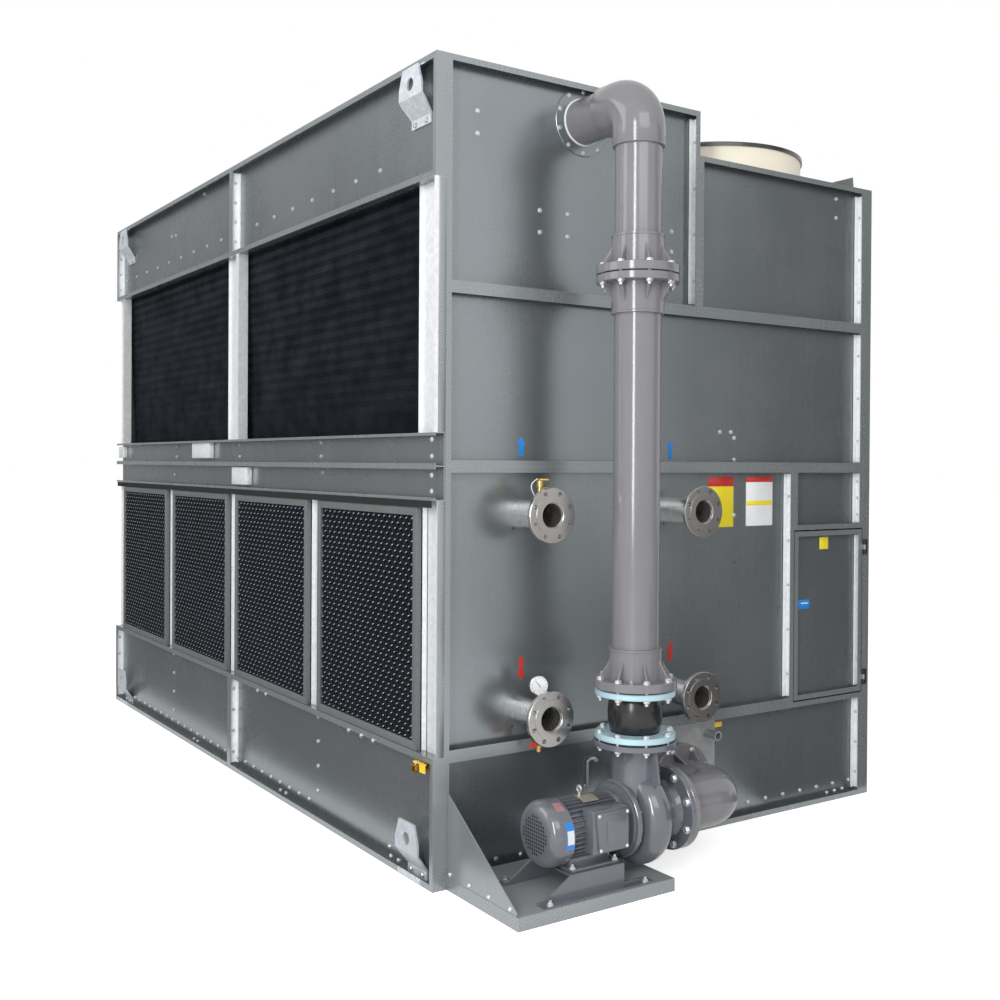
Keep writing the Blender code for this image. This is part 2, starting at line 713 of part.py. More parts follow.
fan_pitch = case_length / fan_count
fan_x = (step_x + case_width) / 2
fan_ys = [fan_pitch * (k + 0.5) for k in range(fan_count)]
deck = block((step_x, case_width - seat), (inner_front, inner_back),
             (deck_height - roof_thickness, deck_height))
deck_hole = fan_radius - fan_wall - 0.006
holes = [rod(deck_hole, deck_height - 0.05, deck_height + 0.05, fan_segments,
             Matrix.Translation((fan_x, y, 0)))
         for y in fan_ys]
deck_body = combine(deck, holes, "DIFFERENCE")
deck_lugs = []
lug_x = case_width - deck_lug_edge
for turn, start_y in ((1, 0.0), (-1, case_length)):
    base = [start_y + turn * deck_lug_near, start_y + turn * deck_lug_far]
    top = [start_y + turn * deck_lug_top_near, start_y + turn * deck_lug_top_far]
    outline = [(base[0], 0.0), (base[1], 0.0), (top[1], deck_lug_height), (top[0], deck_lug_height)]
    place = axes((lug_x - deck_lug_sheet, 0, deck_height - 0.001), (0, 1, 0), (0, 0, 1), (1, 0, 0))
    deck_lugs.append(prism(outline, place, deck_lug_sheet))
    foot_y = sorted((base[0] + turn * 0.001, base[1] - turn * 0.001))
    deck_lugs.append(block((lug_x - deck_lug_foot, lug_x - 0.001), foot_y,
                           (deck_height - 0.0005, deck_height + deck_lug_sheet)))
node("fan_deck", combine(deck_body, deck_lugs), slate_steel)

# Fans: a bell ring on the deck, a guard across its mouth and a rotor hung from the guard
ring_z0 = deck_height + seat
ring_z1 = ring_z0 + fan_height
inner_r = fan_radius - fan_wall
ring_profile = [(inner_r, ring_z0), (fan_radius + fan_flange, ring_z0),
                (fan_radius + fan_flange, ring_z0 + fan_wall),
                (fan_radius, ring_z0 + fan_wall), (fan_radius, ring_z1 - fan_lip),
                (fan_radius + 0.006, ring_z1),
                (inner_r, ring_z1)]
guard_z = ring_z1 + seat


def guard_sheet():
    """A round guard cut from one plate: a rim, rings and spokes with open sectors between them."""
    plate = rod(fan_radius + 0.002, guard_z, guard_z + guard_thickness, fan_segments)
    edges = [rotor_hub + (fan_radius - rotor_hub) * k / guard_rings for k in range(guard_rings + 1)]
    arc_steps = max(2, fan_segments // guard_spokes // 2)
    cutters = []
    for k in range(guard_rings):
        r0 = edges[k] + guard_bar / 2
        r1 = edges[k + 1] - guard_bar / 2
        for s in range(guard_spokes):
            mid0 = math.tau * s / guard_spokes
            mid1 = math.tau * (s + 1) / guard_spokes
            outline = []
            for r, order in ((r1, range(arc_steps + 1)), (r0, range(arc_steps, -1, -1))):
                half = guard_bar / 2 / r
                for step in order:
                    a = mid0 + half + (mid1 - mid0 - 2 * half) * step / arc_steps
                    outline.append((r * math.cos(a), r * math.sin(a)))
            cutters.append(prism(outline, Matrix.Translation((0, 0, guard_z - 0.01)),
                                 guard_thickness + 0.02))
    joined = bmesh.new()
    for cutter in cutters:
        mesh = bpy.data.meshes.new("cut")
        cutter.to_mesh(mesh)
        cutter.free()
        joined.from_mesh(mesh)
        bpy.data.meshes.remove(mesh)
    return combine(plate, [joined], "DIFFERENCE")


def fan_blade(root, tip):
    """A blade lofted through thin curved sections that turn flatter and narrower towards the tip."""
    bm = bmesh.new()
    rings = []
    for k in range(blade_sections):
        t = k / (blade_sections - 1)
        radius = root + (tip - root) * t
        chord = blade_root_chord + (blade_tip_chord - blade_root_chord) * t
        chord += blade_belly * math.sin(math.pi * t)
        pitch = math.radians(blade_root_pitch + (blade_tip_pitch - blade_root_pitch) * t)
        upper = [(-chord / 2, 0.0), (0.0, blade_camber), (chord / 2, 0.0)]
        lower = [(c, h - blade_thickness) for c, h in reversed(upper)]
        rings.append([bm.verts.new((radius, c * math.cos(pitch) - h * math.sin(pitch),
                                    c * math.sin(pitch) + h * math.cos(pitch))) for c, h in upper + lower])
    for inner, outer in zip(rings[:-1], rings[1:]):
        for a in range(6):
            b = (a + 1) % 6
            bm.faces.new((inner[a], inner[b], outer[b], outer[a]))
    bm.faces.new(rings[0])
    bm.faces.new(rings[-1])
    bmesh.ops.recalc_face_normals(bm, faces=bm.faces)
    return bm


def rotor_shape():
    """A motor hub with twisted blades round it."""
    top = guard_z - seat
    hub = rod(rotor_hub, top - rotor_depth, top, hub_segments)
    blades = []
    for k in range(blade_count):
        blade = fan_blade(rotor_hub - 0.01, inner_r - blade_tip_gap)
        spin = Matrix.Rotation(math.tau * k / blade_count, 4, "Z")
        bmesh.ops.transform(blade, matrix=Matrix.Translation((0, 0, top - rotor_depth * 0.55)) @ spin,
                            verts=blade.verts)
        blades.append(blade)
    return combine(hub, blades)


guard_master = guard_sheet()
rotor_master = rotor_shape()
for k, y in enumerate(fan_ys):
    place = Matrix.Translation((fan_x, y, 0))
    node("fan_ring_%d" % (k + 1), turned(ring_profile, fan_segments, place), cream_shell, smooth=35)
    guard = guard_master.copy()
    bmesh.ops.transform(guard, matrix=place, verts=guard.verts)
    node("fan_guard_%d" % (k + 1), guard, black_coated)
    rotor = rotor_master.copy()
    bmesh.ops.transform(rotor, matrix=place, verts=rotor.verts)
    node("fan_rotor_%d" % (k + 1), rotor, black_coated)
guard_master.free()
rotor_master.free()

# Pump platform: a plate with turned-down edges and a gusset from the corner
plate = block((platform_left, platform_right), (platform_front, -seat), (0.0, platform_height))
under = block((platform_left + platform_sheet, platform_right - platform_sheet),
              (platform_front + platform_sheet, -seat - platform_sheet),
              (-0.01, platform_height - platform_sheet))
tray = combine(plate, [under], "DIFFERENCE")
gusset_outline = [(-seat - 0.001, platform_height - 0.001),
                  (platform_front + 0.015, platform_height - 0.001),
                  (platform_front + 0.015, platform_height + 0.012), (-seat - 0.001, gusset_height)]
gusset = prism(gusset_outline, axes((platform_left + 0.002, 0, 0), (0, 1, 0), (0, 0, 1), (1, 0, 0)),
               platform_sheet)
node("pump_platform", combine(tray, [gusset]), slate_steel)

# Pump base: a folded stand with two splayed legs and long feet
floor_z = platform_height + seat
side_outline = [(foot_x0, floor_z), (foot_x1, floor_z), (foot_x1, floor_z + 0.012),
                (base_x1, floor_z + 0.012),
                (base_x1, base_top), (base_x0, base_top), (foot_x0 + 0.03, floor_z + 0.012),
                (foot_x0, floor_z + 0.012)]
base_parts = []
for s in (-1, 1):
    y_out = pump_y + s * base_half
    y_in = y_out - s * base_sheet
    lo, hi = min(y_out, y_in), max(y_out, y_in)
    base_parts.append(prism(side_outline, axes((0, lo, 0), (1, 0, 0), (0, 0, 1), (0, 1, 0)), hi - lo))
    y_foot = y_out + s * base_foot
    lo, hi = min(y_in, y_foot), max(y_in, y_foot)
    base_parts.append(block((foot_x0, foot_x1), (lo, hi), (floor_z, floor_z + base_sheet)))
base_top_plate = block((base_x0, base_x1), (pump_y - base_half, pump_y + base_half),
                       (base_top - base_sheet, base_top))
node("pump_base", combine(base_top_plate, base_parts), pump_paint)

# Motor: fan cowl, finned frame, end bell, foot and terminal box
shaft_place = axes((0, pump_y, pump_z), (0, 1, 0), (0, 0, 1), (1, 0, 0))
cowl = turned([(0.0, motor_rear), (cowl_radius * 0.72, motor_rear),
               (cowl_radius * 0.93, motor_rear + 0.012),
               (cowl_radius, motor_rear + 0.034), (cowl_radius, motor_rear + cowl_length),
               (0.0, motor_rear + cowl_length)], cowl_segments, shaft_place, closed=False)
fin_outline = []
for k in range(fin_count):
    mid = math.tau * (k + 0.5) / fin_count
    for offset, radius in ((-0.16, motor_radius - fin_depth), (-0.12, motor_radius),
                           (0.12, motor_radius), (0.16, motor_radius - fin_depth)):
        a = mid + offset * math.tau / fin_count
        fin_outline.append((radius * math.cos(a), radius * math.sin(a)))
body_start = motor_rear + cowl_length - 0.002
body_end = motor_front - 0.040
finned = prism(fin_outline, shaft_place @ Matrix.Translation((0, 0, body_start)), body_end - body_start)
bell = turned([(0.0, body_end - 0.0035), (motor_radius + 0.004, body_end - 0.0035),
               (motor_radius * 0.97, motor_front - 0.012),
               (cover_radius * 0.92, motor_front - 0.010), (cover_radius * 0.92, motor_front),
               (0.0, motor_front)],
              pipe_segments, shaft_place, closed=False)
foot = block((base_x0 + 0.015, base_x1 - 0.015), (pump_y - 0.105, pump_y + 0.105),
             (base_top + seat, base_top + 0.011))
web = block((base_x0 + 0.030, base_x1 - 0.033), (pump_y - 0.071, pump_y + 0.071),
            (base_top + 0.008, pump_z - 0.080))
box_z0 = pump_z + terminal_low
box_z1 = pump_z + terminal_high
box_outline = [(terminal_rear, box_z0), (terminal_front, box_z0), (terminal_front, box_z1),
               (terminal_rear, box_z1)]
terminal = prism(box_outline, axes((0, pump_y - terminal_reach, 0), (1, 0, 0), (0, 0, 1), (0, 1, 0)),
                 terminal_reach - terminal_root)
front = [face for face in terminal.faces if face.normal.y < -0.9]
lid = bmesh.ops.extrude_discrete_faces(terminal, faces=front)["faces"][0]
bmesh.ops.translate(terminal, verts=lid.verts, vec=(0, -terminal_lid, 0))
for vert in lid.verts:
    if vert.co.x < (terminal_rear + terminal_front) / 2:
        vert.co.x += terminal_slant
    vert.co.z += math.copysign(terminal_chamfer, pump_z - vert.co.z)
node("pump_motor", combine(finned, [cowl, bell, foot, web, terminal]), pump_paint, smooth=32)

# Pump casing: back cover, volute, suction nozzle and the upright discharge neck, cast in one
casing_start = motor_front + seat
casing = turned([(0.0, casing_start), (cover_radius, casing_start), (cover_radius, casing_start + 0.022),
                 (volute_radius * 0.86, casing_start + 0.026),
                 (volute_radius * 0.97, riser_x - volute_half * 0.55),
                 (volute_radius, riser_x), (volute_radius * 0.97, riser_x + volute_half * 0.55),
                 (volute_radius * 0.84, riser_x + volute_half), (0.108, riser_x + volute_half + 0.03),
                 (0.098, suction_flange_x - 0.075), (0.108, suction_flange_x - cast_flange),
                 (flange_radius, suction_flange_x - cast_flange), (flange_radius, suction_flange_x - seat),
                 (0.0, suction_flange_x - seat)], pipe_segments, shaft_place, closed=False)
neck_place = Matrix.Translation((riser_x, pump_y, 0))
neck = turned([(0.0, pump_z), (0.104, pump_z), (0.100, pump_z + 0.130), (0.094, discharge_top - 0.070),
               (0.106, discharge_top - cast_flange), (flange_radius, discharge_top - cast_flange),
               (flange_radius, discharge_top), (0.0, discharge_top)], pipe_segments, neck_place,
               closed=False)
fin_plate = prism([(riser_x + 0.02, pump_z + 0.10), (riser_x + 0.135, pump_z + 0.150),
                   (riser_x + 0.098, discharge_top - 0.02),
                   (riser_x + 0.02, discharge_top - 0.02)],
                  axes((0, pump_y - 0.004, 0), (1, 0, 0), (0, 0, 1), (0, 1, 0)), 0.008)
node("pump_casing", combine(casing, [neck, fin_plate]), pump_paint, smooth=35)

# Rubber expansion joint between two loose steel flanges
joint_z0 = discharge_top + seat
joint_z1 = joint_z0 + joint_height
low_flange_z = joint_z0 + rubber_face
high_flange_z = joint_z1 - rubber_face - joint_flange_thickness
bead = bellows_radius
rubber = turned([(0.0, joint_z0), (flange_radius - rubber_inset, joint_z0),
                 (flange_radius - rubber_inset, joint_z0 + rubber_face - seat),
                 (rubber_neck, joint_z0 + rubber_face - seat),
                 (rubber_neck, low_flange_z + joint_flange_thickness + 0.004),
                 (bead - 0.004, low_flange_z + joint_flange_thickness + 0.028),
                 (bead, (joint_z0 + joint_z1) / 2 - 0.020),
                 (bead, (joint_z0 + joint_z1) / 2 + 0.020), (bead - 0.004, high_flange_z - 0.028),
                 (rubber_neck, high_flange_z - 0.004), (rubber_neck, joint_z1 - rubber_face + seat),
                 (flange_radius - rubber_inset, joint_z1 - rubber_face + seat),
                 (flange_radius - rubber_inset, joint_z1),
                 (0.0, joint_z1)], pipe_segments, neck_place, closed=False)
node("expansion_joint", rubber, black_rubber, smooth=50)
for name, z in (("joint_flange_lower", low_flange_z), ("joint_flange_upper", high_flange_z)):
    disc = turned([(rubber_neck + seat, z), (flange_radius - 0.006, z),
                   (flange_radius - 0.006, z + joint_flange_thickness),
                   (rubber_neck + seat, z + joint_flange_thickness)], pipe_segments, neck_place)
    node(name, disc, pale_blue, smooth=35)


def ribs(count, r_hub, r_out, z_flange, rise, place, thickness=0.006, turn=0.0):
    """Triangular stiffeners between a flange and its hub."""
    made = []
    for k in range(count):
        outline = [(r_hub - 0.003, z_flange - 0.001 * math.copysign(1, rise)),
                   (r_out, z_flange - 0.001 * math.copysign(1, rise)),
                   (r_hub - 0.003, z_flange + rise)]
        spin = Matrix.Rotation(math.tau * k / count + turn, 4, "Z")
        plate = axes((0, 0, 0), (1, 0, 0), (0, 0, 1), (0, -1, 0))
        rib = prism(outline, plate, thickness)
        bmesh.ops.translate(rib, verts=rib.verts, vec=(0, thickness / 2, 0))
        bmesh.ops.transform(rib, matrix=place @ spin, verts=rib.verts)
        made.append(rib)
    return made


# Lower riser: ribbed flange, pipe and the lower half of the middle joint
riser_z0 = joint_z1 + seat
hub_r = socket_radius
riser_low = turned([(0.0, riser_z0), (flange_radius, riser_z0), (flange_radius, riser_z0 + plastic_flange),
                    (hub_r, riser_z0 + plastic_flange), (hub_r, riser_z0 + plastic_flange + hub_length),
                    (pipe_radius, riser_z0 + plastic_flange + hub_length),
                    (pipe_radius, mid_joint_z - plastic_flange - hub_length),
                    (hub_r, mid_joint_z - plastic_flange - hub_length + 0.008),
                    (hub_r, mid_joint_z - plastic_flange),
                    (flange_radius, mid_joint_z - plastic_flange), (flange_radius, mid_joint_z),
                    (0.0, mid_joint_z)], pipe_segments, neck_place, closed=False)
rib_set = ribs(rib_count, hub_r, hub_r + rib_reach, riser_z0 + plastic_flange, rib_rise, neck_place)
rib_set += ribs(rib_count, hub_r, hub_r + rib_reach, mid_joint_z - plastic_flange, -rib_rise, neck_place)
node("riser_lower", combine(riser_low, rib_set), grey_plastic, smooth=35)


def bend(radius, turn_radius, place, segments=pipe_segments, steps=bend_steps):
    """A quarter bend: a disc spun about a line beside it, from going up at the origin to going along +X."""
    bm = bmesh.new()
    ring = bmesh.ops.create_circle(bm, cap_ends=True, radius=radius, segments=segments)
    faces = list(bm.faces)
    bmesh.ops.spin(bm, geom=faces, cent=(turn_radius, 0, 0), axis=(0, 1, 0), dvec=(0, 0, 0),
                   angle=math.pi / 2, steps=steps, use_duplicate=False)
    bmesh.ops.remove_doubles(bm, verts=bm.verts, dist=merge_distance)
    bmesh.ops.transform(bm, matrix=place, verts=bm.verts)
    bmesh.ops.recalc_face_normals(bm, faces=bm.faces)
    return bm


# Upper riser: flange, pipe, elbow and the run back into the top of the casing
up_z0 = mid_joint_z + seat
corner_z = top_pipe_z - bend_radius
upper = turned([(0.0, up_z0), (flange_radius, up_z0), (flange_radius, up_z0 + plastic_flange),
                (hub_r, up_z0 + plastic_flange),
                (hub_r, up_z0 + plastic_flange + hub_length),
                (pipe_radius, up_z0 + plastic_flange + hub_length),
                (pipe_radius, top_pipe_z - bend_socket), (hub_r, top_pipe_z - bend_socket),
                (hub_r, corner_z + 0.001), (0.0, corner_z + 0.001)],
               pipe_segments, neck_place, closed=False)
turn_up = bend(hub_r + 0.002, bend_radius,
               axes((riser_x, pump_y, corner_z), (0, 1, 0), (-1, 0, 0), (0, 0, 1)))
run_place = axes((riser_x, 0, top_pipe_z), (-1, 0, 0), (0, 0, 1), (0, 1, 0))
run_start = pump_y + bend_radius - 0.001
run_end = web_front_y - seat
run = turned([(0.0, run_start), (hub_r, run_start), (hub_r, pump_y + bend_socket),
              (pipe_radius, pump_y + bend_socket),
              (pipe_radius, run_end - 0.005), (wall_disc_radius, run_end - 0.005),
              (wall_disc_radius, run_end),
              (0.0, run_end)], pipe_segments, run_place, closed=False)
upper_ribs = ribs(rib_count, hub_r, hub_r + rib_reach, up_z0 + plastic_flange, rib_rise, neck_place)
node("riser_upper", combine(upper, [turn_up, run] + upper_ribs), grey_plastic, smooth=35)

# Suction pipe: flange on the pump, elbow and a ribbed flange on the basin stub
turn_x = suction_turn_x - bend_radius
leg = turned([(0.0, suction_flange_x), (flange_radius, suction_flange_x),
              (flange_radius, suction_flange_x + 0.024),
              (hub_r, suction_flange_x + 0.024), (hub_r, suction_flange_x + 0.050),
              (hub_r + 0.004, suction_flange_x + 0.050),
              (hub_r + 0.004, turn_x + 0.001), (0.0, turn_x + 0.001)], pipe_segments, shaft_place,
              closed=False)
turn_in = bend(hub_r + 0.006, bend_radius, axes((turn_x, pump_y, pump_z), (0, 1, 0), (0, 0, -1), (1, 0, 0)))
back_place_pipe = axes((suction_turn_x, 0, pump_z), (-1, 0, 0), (0, 0, 1), (0, 1, 0))
back_leg = turned([(0.0, pump_y + bend_radius - 0.001), (hub_r + 0.004, pump_y + bend_radius - 0.001),
                   (hub_r + 0.004, pump_y + suction_socket), (hub_r, pump_y + suction_socket),
                   (hub_r, stub_face_y - 0.030),
                   (flange_radius, stub_face_y - 0.030), (flange_radius, stub_face_y - seat),
                   (0.0, stub_face_y - seat)],
                  pipe_segments, back_place_pipe, closed=False)
back_ribs = ribs(rib_count, hub_r, hub_r + rib_reach, stub_face_y - 0.030, -rib_rise, back_place_pipe,
                 turn=math.pi / rib_count)
node("suction_pipe", combine(leg, [turn_in, back_leg] + back_ribs), grey_plastic, smooth=35)

# Plate on the basin with the suction stub and a small overflow nipple
plate_x = (suction_turn_x - suction_plate_left, suction_turn_x + suction_plate_right)
suction_sheet = block(plate_x, (web_front_y - 0.005 - seat, web_front_y - seat),
                      (pan_lip + 0.002, basin_height - pan_lip - 0.002))
stub = turned([(0.0, stub_face_y), (flange_radius, stub_face_y), (flange_radius, stub_face_y + 0.020),
               (hub_r, stub_face_y + 0.020),
               (hub_r, web_front_y - 0.002), (0.0, web_front_y - 0.002)], pipe_segments, back_place_pipe,
               closed=False)
nipple_place = axes((suction_turn_x + nipple_offset, 0, basin_height - nipple_drop), (-1, 0, 0),
                    (0, 0, 1), (0, 1, 0))
nipple = turned([(0.015, -0.030), (0.022, -0.030), (0.022, web_front_y - 0.001),
                 (0.015, web_front_y - 0.001)], 16, nipple_place)
node("suction_plate", combine(suction_sheet, [stub, nipple]), galvanised)

# Coil connections: stainless pipes with loose-looking raised-face flanges, open at the mouth


def coil_connection(name, x, z, fittings=()):
    place = axes((x, 0, z), (-1, 0, 0), (0, 0, 1), (0, 1, 0))
    end = web_front_y - seat
    face = -coil_reach
    shape = turned([(0.0, end), (coil_disc_radius, end), (coil_disc_radius, end - 0.004),
                    (coil_pipe_radius, end - 0.006),
                    (coil_pipe_radius, face + coil_flange_thickness + 0.010),
                    (coil_pipe_radius + 0.012, face + coil_flange_thickness),
                    (coil_flange_radius, face + coil_flange_thickness),
                    (coil_flange_radius, face + coil_face_height),
                    (coil_face_radius, face + coil_face_height), (coil_face_radius, face),
                    (coil_bore_radius, face), (coil_bore_radius, end - 0.012),
                    (0.0, end - 0.012)], coil_segments, place, closed=False)
    holes = bmesh.new()
    for k in range(coil_bolt_count):
        a = math.tau * (k + 0.5) / coil_bolt_count
        spot = place @ Matrix.Translation((coil_bolt_radius * math.cos(a), coil_bolt_radius * math.sin(a),
                                           0))
        drill = rod(coil_bolt_hole, face - 0.01, face + coil_flange_thickness + 0.01, 6, spot)
        mesh = bpy.data.meshes.new("drill")
        drill.to_mesh(mesh)
        drill.free()
        holes.from_mesh(mesh)
        bpy.data.meshes.remove(mesh)
    body = combine(shape, [holes], "DIFFERENCE")
    if fittings:
        body = combine(body, fittings)
    node(name, body, stainless, smooth=35)


# Drain valve: a nipple and ball body hanging from the pipe, with the stem facing out of the panel
drain_z = coil_low_z - coil_pipe_radius - drain_drop
drain_place = Matrix.Translation((coil_near_x, drain_y, 0))
drain_body = turned([(0.0, drain_z - drain_length), (0.011, drain_z - drain_length),
                     (0.011, drain_z - drain_length * 0.55),
                     (drain_body_radius, drain_z - drain_length * 0.45),
                     (drain_body_radius, drain_z + drain_length * 0.45),
                     (0.011, drain_z + drain_length * 0.55), (0.011, coil_low_z - coil_pipe_radius + 0.004),
                     (0.0, coil_low_z - coil_pipe_radius + 0.004)], 12, drain_place, closed=False)
drain_stem_place = axes((coil_near_x, drain_y, drain_z), (1, 0, 0), (0, 0, 1), (0, -1, 0))
drain_stem = rod(0.005, 0.0, drain_body_radius + lever_lift + 0.008, 10, drain_stem_place)
coil_connection("coil_outlet_near", coil_near_x, coil_low_z, [drain_body, drain_stem])
drain_lift = drain_body_radius + lever_lift
drain_hub = turned([(0.005 + lever_clearance, drain_lift), (0.011, drain_lift), (0.011, drain_lift + 0.005),
                    (0.005 + lever_clearance, drain_lift + 0.005)], 12, drain_stem_place)
drain_arm = prism([(-0.0075, 0.0072), (-0.0075, -0.0072), (-drain_lever_length, -0.010),
                   (-drain_lever_length, 0.010)],
                  drain_stem_place @ Matrix.Translation((0, 0, drain_lift + 0.0005)), 0.004)
drain_tail = prism([(0.0075, -0.0072), (0.0075, 0.0072), (0.020, 0.006), (0.020, -0.006)],
                   drain_stem_place @ Matrix.Translation((0, 0, drain_lift + 0.0005)), 0.004)
node("drain_lever", combine(drain_hub, [drain_arm, drain_tail]), red_plastic,
     origin=(coil_near_x, drain_y - drain_lift, drain_z))
coil_connection("coil_inlet_near", coil_near_x, coil_high_z)
coil_connection("coil_outlet_far", coil_far_x, coil_low_z)
coil_connection("coil_inlet_far", coil_far_x, coil_high_z)

# Quarter-turn valve on the intake side of the basin, with its lever on the stem
valve_root = sheet + seat
valve_place = axes((0, valve_y, valve_z), (0, 1, 0), (0, 0, 1), (-1, 0, 0))
bore_r = valve_radius - 0.004
cap_in = valve_cap - 0.001
valve_body = turned([(0.0, valve_root), (valve_cap, valve_root), (valve_cap, valve_nut),
                     (valve_radius, valve_nut + 0.002),
                     (valve_radius, valve_mouth - 0.012), (cap_in, valve_mouth - 0.010),
                     (cap_in, valve_mouth),
                     (bore_r, valve_mouth), (bore_r, valve_mouth - valve_bore_depth),
                     (0.0, valve_mouth - valve_bore_depth)], 12, valve_place, closed=False)
stem_x = -valve_stem_out
stem_place = Matrix.Translation((stem_x, valve_y, 0))
lever_z = valve_z + valve_cap + lever_lift
stem = rod(0.006, valve_z + valve_radius - 0.002, lever_z + 0.009, 10, stem_place)
node("basin_valve", combine(valve_body, [stem]), brass)
hub = turned([(0.006 + lever_clearance, lever_z), (0.012, lever_z), (0.012, lever_z + 0.005),
              (0.006 + lever_clearance, lever_z + 0.005)], 12, stem_place)
arm_top = lever_z + 0.0045
arm = block((stem_x - 0.006, stem_x + 0.006), (valve_y - valve_lever_length, valve_y - 0.0085),
            (lever_z + 0.0005, arm_top))
grip = block((stem_x - 0.0025, stem_x + 0.0025),
             (valve_y - valve_lever_length + 0.001, valve_y - valve_grip_start),
             (arm_top - valve_grip_drop, arm_top - 0.001))
node("basin_valve_lever", combine(hub, [arm, grip]), yellow_plastic, origin=(stem_x, valve_y, lever_z))

# Origin under the middle of the whole unit
bpy.context.view_layer.update()
corners = [obj.matrix_world @ Vector(point) for obj in bpy.context.scene.objects for point in obj.bound_box]
centre_x = (min(c.x for c in corners) + max(c.x for c in corners)) / 2
centre_y = (min(c.y for c in corners) + max(c.y for c in corners)) / 2
for obj in bpy.context.scene.objects:
    obj.location.x -= centre_x
    obj.location.y -= centre_y
bpy.context.view_layer.update()
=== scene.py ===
# %% [markdown]
# # A closed-circuit cooling tower, dressed for a studio picture
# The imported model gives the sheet-metal casing, the pipes, the pump and the fans at their real size. This
# lesson adds what makes them look real: painted steel with its own wear, bolts, honeycomb air inlets,
# a herringbone fill, wire guards, labels and a gauge. Every new piece is placed from the boxes of the
# parts that carry it, so the lesson follows the model.

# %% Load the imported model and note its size
import math

import bmesh
import bpy
from mathutils import Matrix, Vector


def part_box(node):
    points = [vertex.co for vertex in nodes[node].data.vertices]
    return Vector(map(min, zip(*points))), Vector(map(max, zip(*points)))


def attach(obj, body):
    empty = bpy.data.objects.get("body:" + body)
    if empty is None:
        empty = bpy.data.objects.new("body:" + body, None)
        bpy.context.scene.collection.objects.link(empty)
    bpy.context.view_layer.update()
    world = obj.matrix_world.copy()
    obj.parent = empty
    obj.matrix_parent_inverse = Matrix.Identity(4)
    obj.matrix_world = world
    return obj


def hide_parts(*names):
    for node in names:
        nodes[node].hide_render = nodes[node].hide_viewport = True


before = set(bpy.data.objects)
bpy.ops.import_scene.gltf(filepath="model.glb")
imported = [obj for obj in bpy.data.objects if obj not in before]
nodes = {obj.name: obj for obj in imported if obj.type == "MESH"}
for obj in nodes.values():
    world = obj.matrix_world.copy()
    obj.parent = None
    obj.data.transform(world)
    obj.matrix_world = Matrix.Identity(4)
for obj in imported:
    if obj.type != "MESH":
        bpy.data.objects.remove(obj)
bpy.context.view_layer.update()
print("pieces in the frame:", len(nodes))

# %% [markdown]
# The casing has a corner that every panel is measured from: the one beside the pump, where the pump side
# meets the air intake side. Working from that corner keeps the numbers simple, because a panel seam or a
# bolt is then so many metres to the right (x), away (y) and up (z).

# %% The casing's own corner and the seams measured on the model
front_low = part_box("front_lower_panel")
casing = Vector((front_low[0].x - 0.0003, front_low[0].y, 0.0))
tower = "tower"


def place(x, y, z):
    """A point given from the casing's corner, in the frame of the model."""
    return Vector((casing.x + x, casing.y + y, z))


def span(name):
    """The low and high corner of a part, measured from the casing's corner."""
    low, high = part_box(name)
    shift = Vector((casing.x, casing.y, 0.0))
    return low - shift, high - shift


case_right = span("basin_front")[1].x
case_back = span("back_wall")[1].y
basin_top = span("basin_front")[1].z
seam_low = span("front_lower_panel")[1].z
seam_high = span("front_middle_panel")[1].z
step = span("front_upper_panel")[1].x
bay = span("basin_left_near")[1].y
print("casing %.3f x %.3f m" % (case_right, case_back))
print("basin %.3f m, storeys at %.3f and %.3f m" % (basin_top, seam_low, seam_high))

# %% [markdown]
# The camera stands where the picture was taken from: about 1.66 m above the floor, in front of the corner.
# Its direction is built from three unit vectors, which is easier to check than three angles, and the
# small vertical shift keeps the upright edges of the tower upright.

# %% Camera at the picture's viewpoint
turn, tilt, roll = math.radians(33.7264), math.radians(-0.4179), math.radians(0.3379)
ahead = Vector((math.sin(turn) * math.cos(tilt), math.cos(turn) * math.cos(tilt), math.sin(tilt)))
level = Vector((math.cos(turn), -math.sin(turn), 0.0))
above = level.cross(ahead)
right = level * math.cos(roll) + above * math.sin(roll)
up = above * math.cos(roll) - level * math.sin(roll)
eye = place(-2.316, -3.849, 1.657)
sensor_width, focal_ratio = 36.0, 1.16316
lens = bpy.data.cameras.new("camera")
lens.lens = sensor_width * focal_ratio
lens.shift_y = -0.0290
lens.clip_end = 200.0
camera = bpy.data.objects.new("camera", lens)
camera.matrix_world = Matrix.Translation(eye) @ Matrix((right, up, -ahead)).transposed().to_4x4()
bpy.context.scene.collection.objects.link(camera)
bpy.context.scene.camera = camera
print("camera at", [round(v, 3) for v in camera.location])

# %% [markdown]
# Shader maths reads best as ordinary arithmetic. This small class wraps a socket, so that `1 - mask` or
# `noise * 0.3` adds the Math node by itself. `Paint` starts a material and has one method for any
# other node.

# %% Sockets that do arithmetic, and a helper for materials


class Value:
    """One output socket of a material, with operators that add Math nodes."""

    def __init__(self, paint, socket):
        self.paint = paint
        self.socket = socket

    def math(self, operation, first, second, clamp=False):
        settings = {"operation": operation, "use_clamp": clamp}
        return self.paint.node("ShaderNodeMath", settings, {0: first, 1: second})

    def __add__(self, other):
        return self.math("ADD", self, other)

    def __sub__(self, other):
        return self.math("SUBTRACT", self, other)

    def __rsub__(self, other):
        return self.math("SUBTRACT", other, self)

    def __mul__(self, other):
        return self.math("MULTIPLY", self, other)

    def __gt__(self, other):
        return self.math("GREATER_THAN", self, other)

    def __lt__(self, other):
        return self.math("LESS_THAN", self, other)

    def most(self, other):
        return self.math("MAXIMUM", self, other)

    def clip(self):
        return self.math("ADD", self, 0.0, clamp=True)

    __radd__ = __add__
    __rmul__ = __mul__


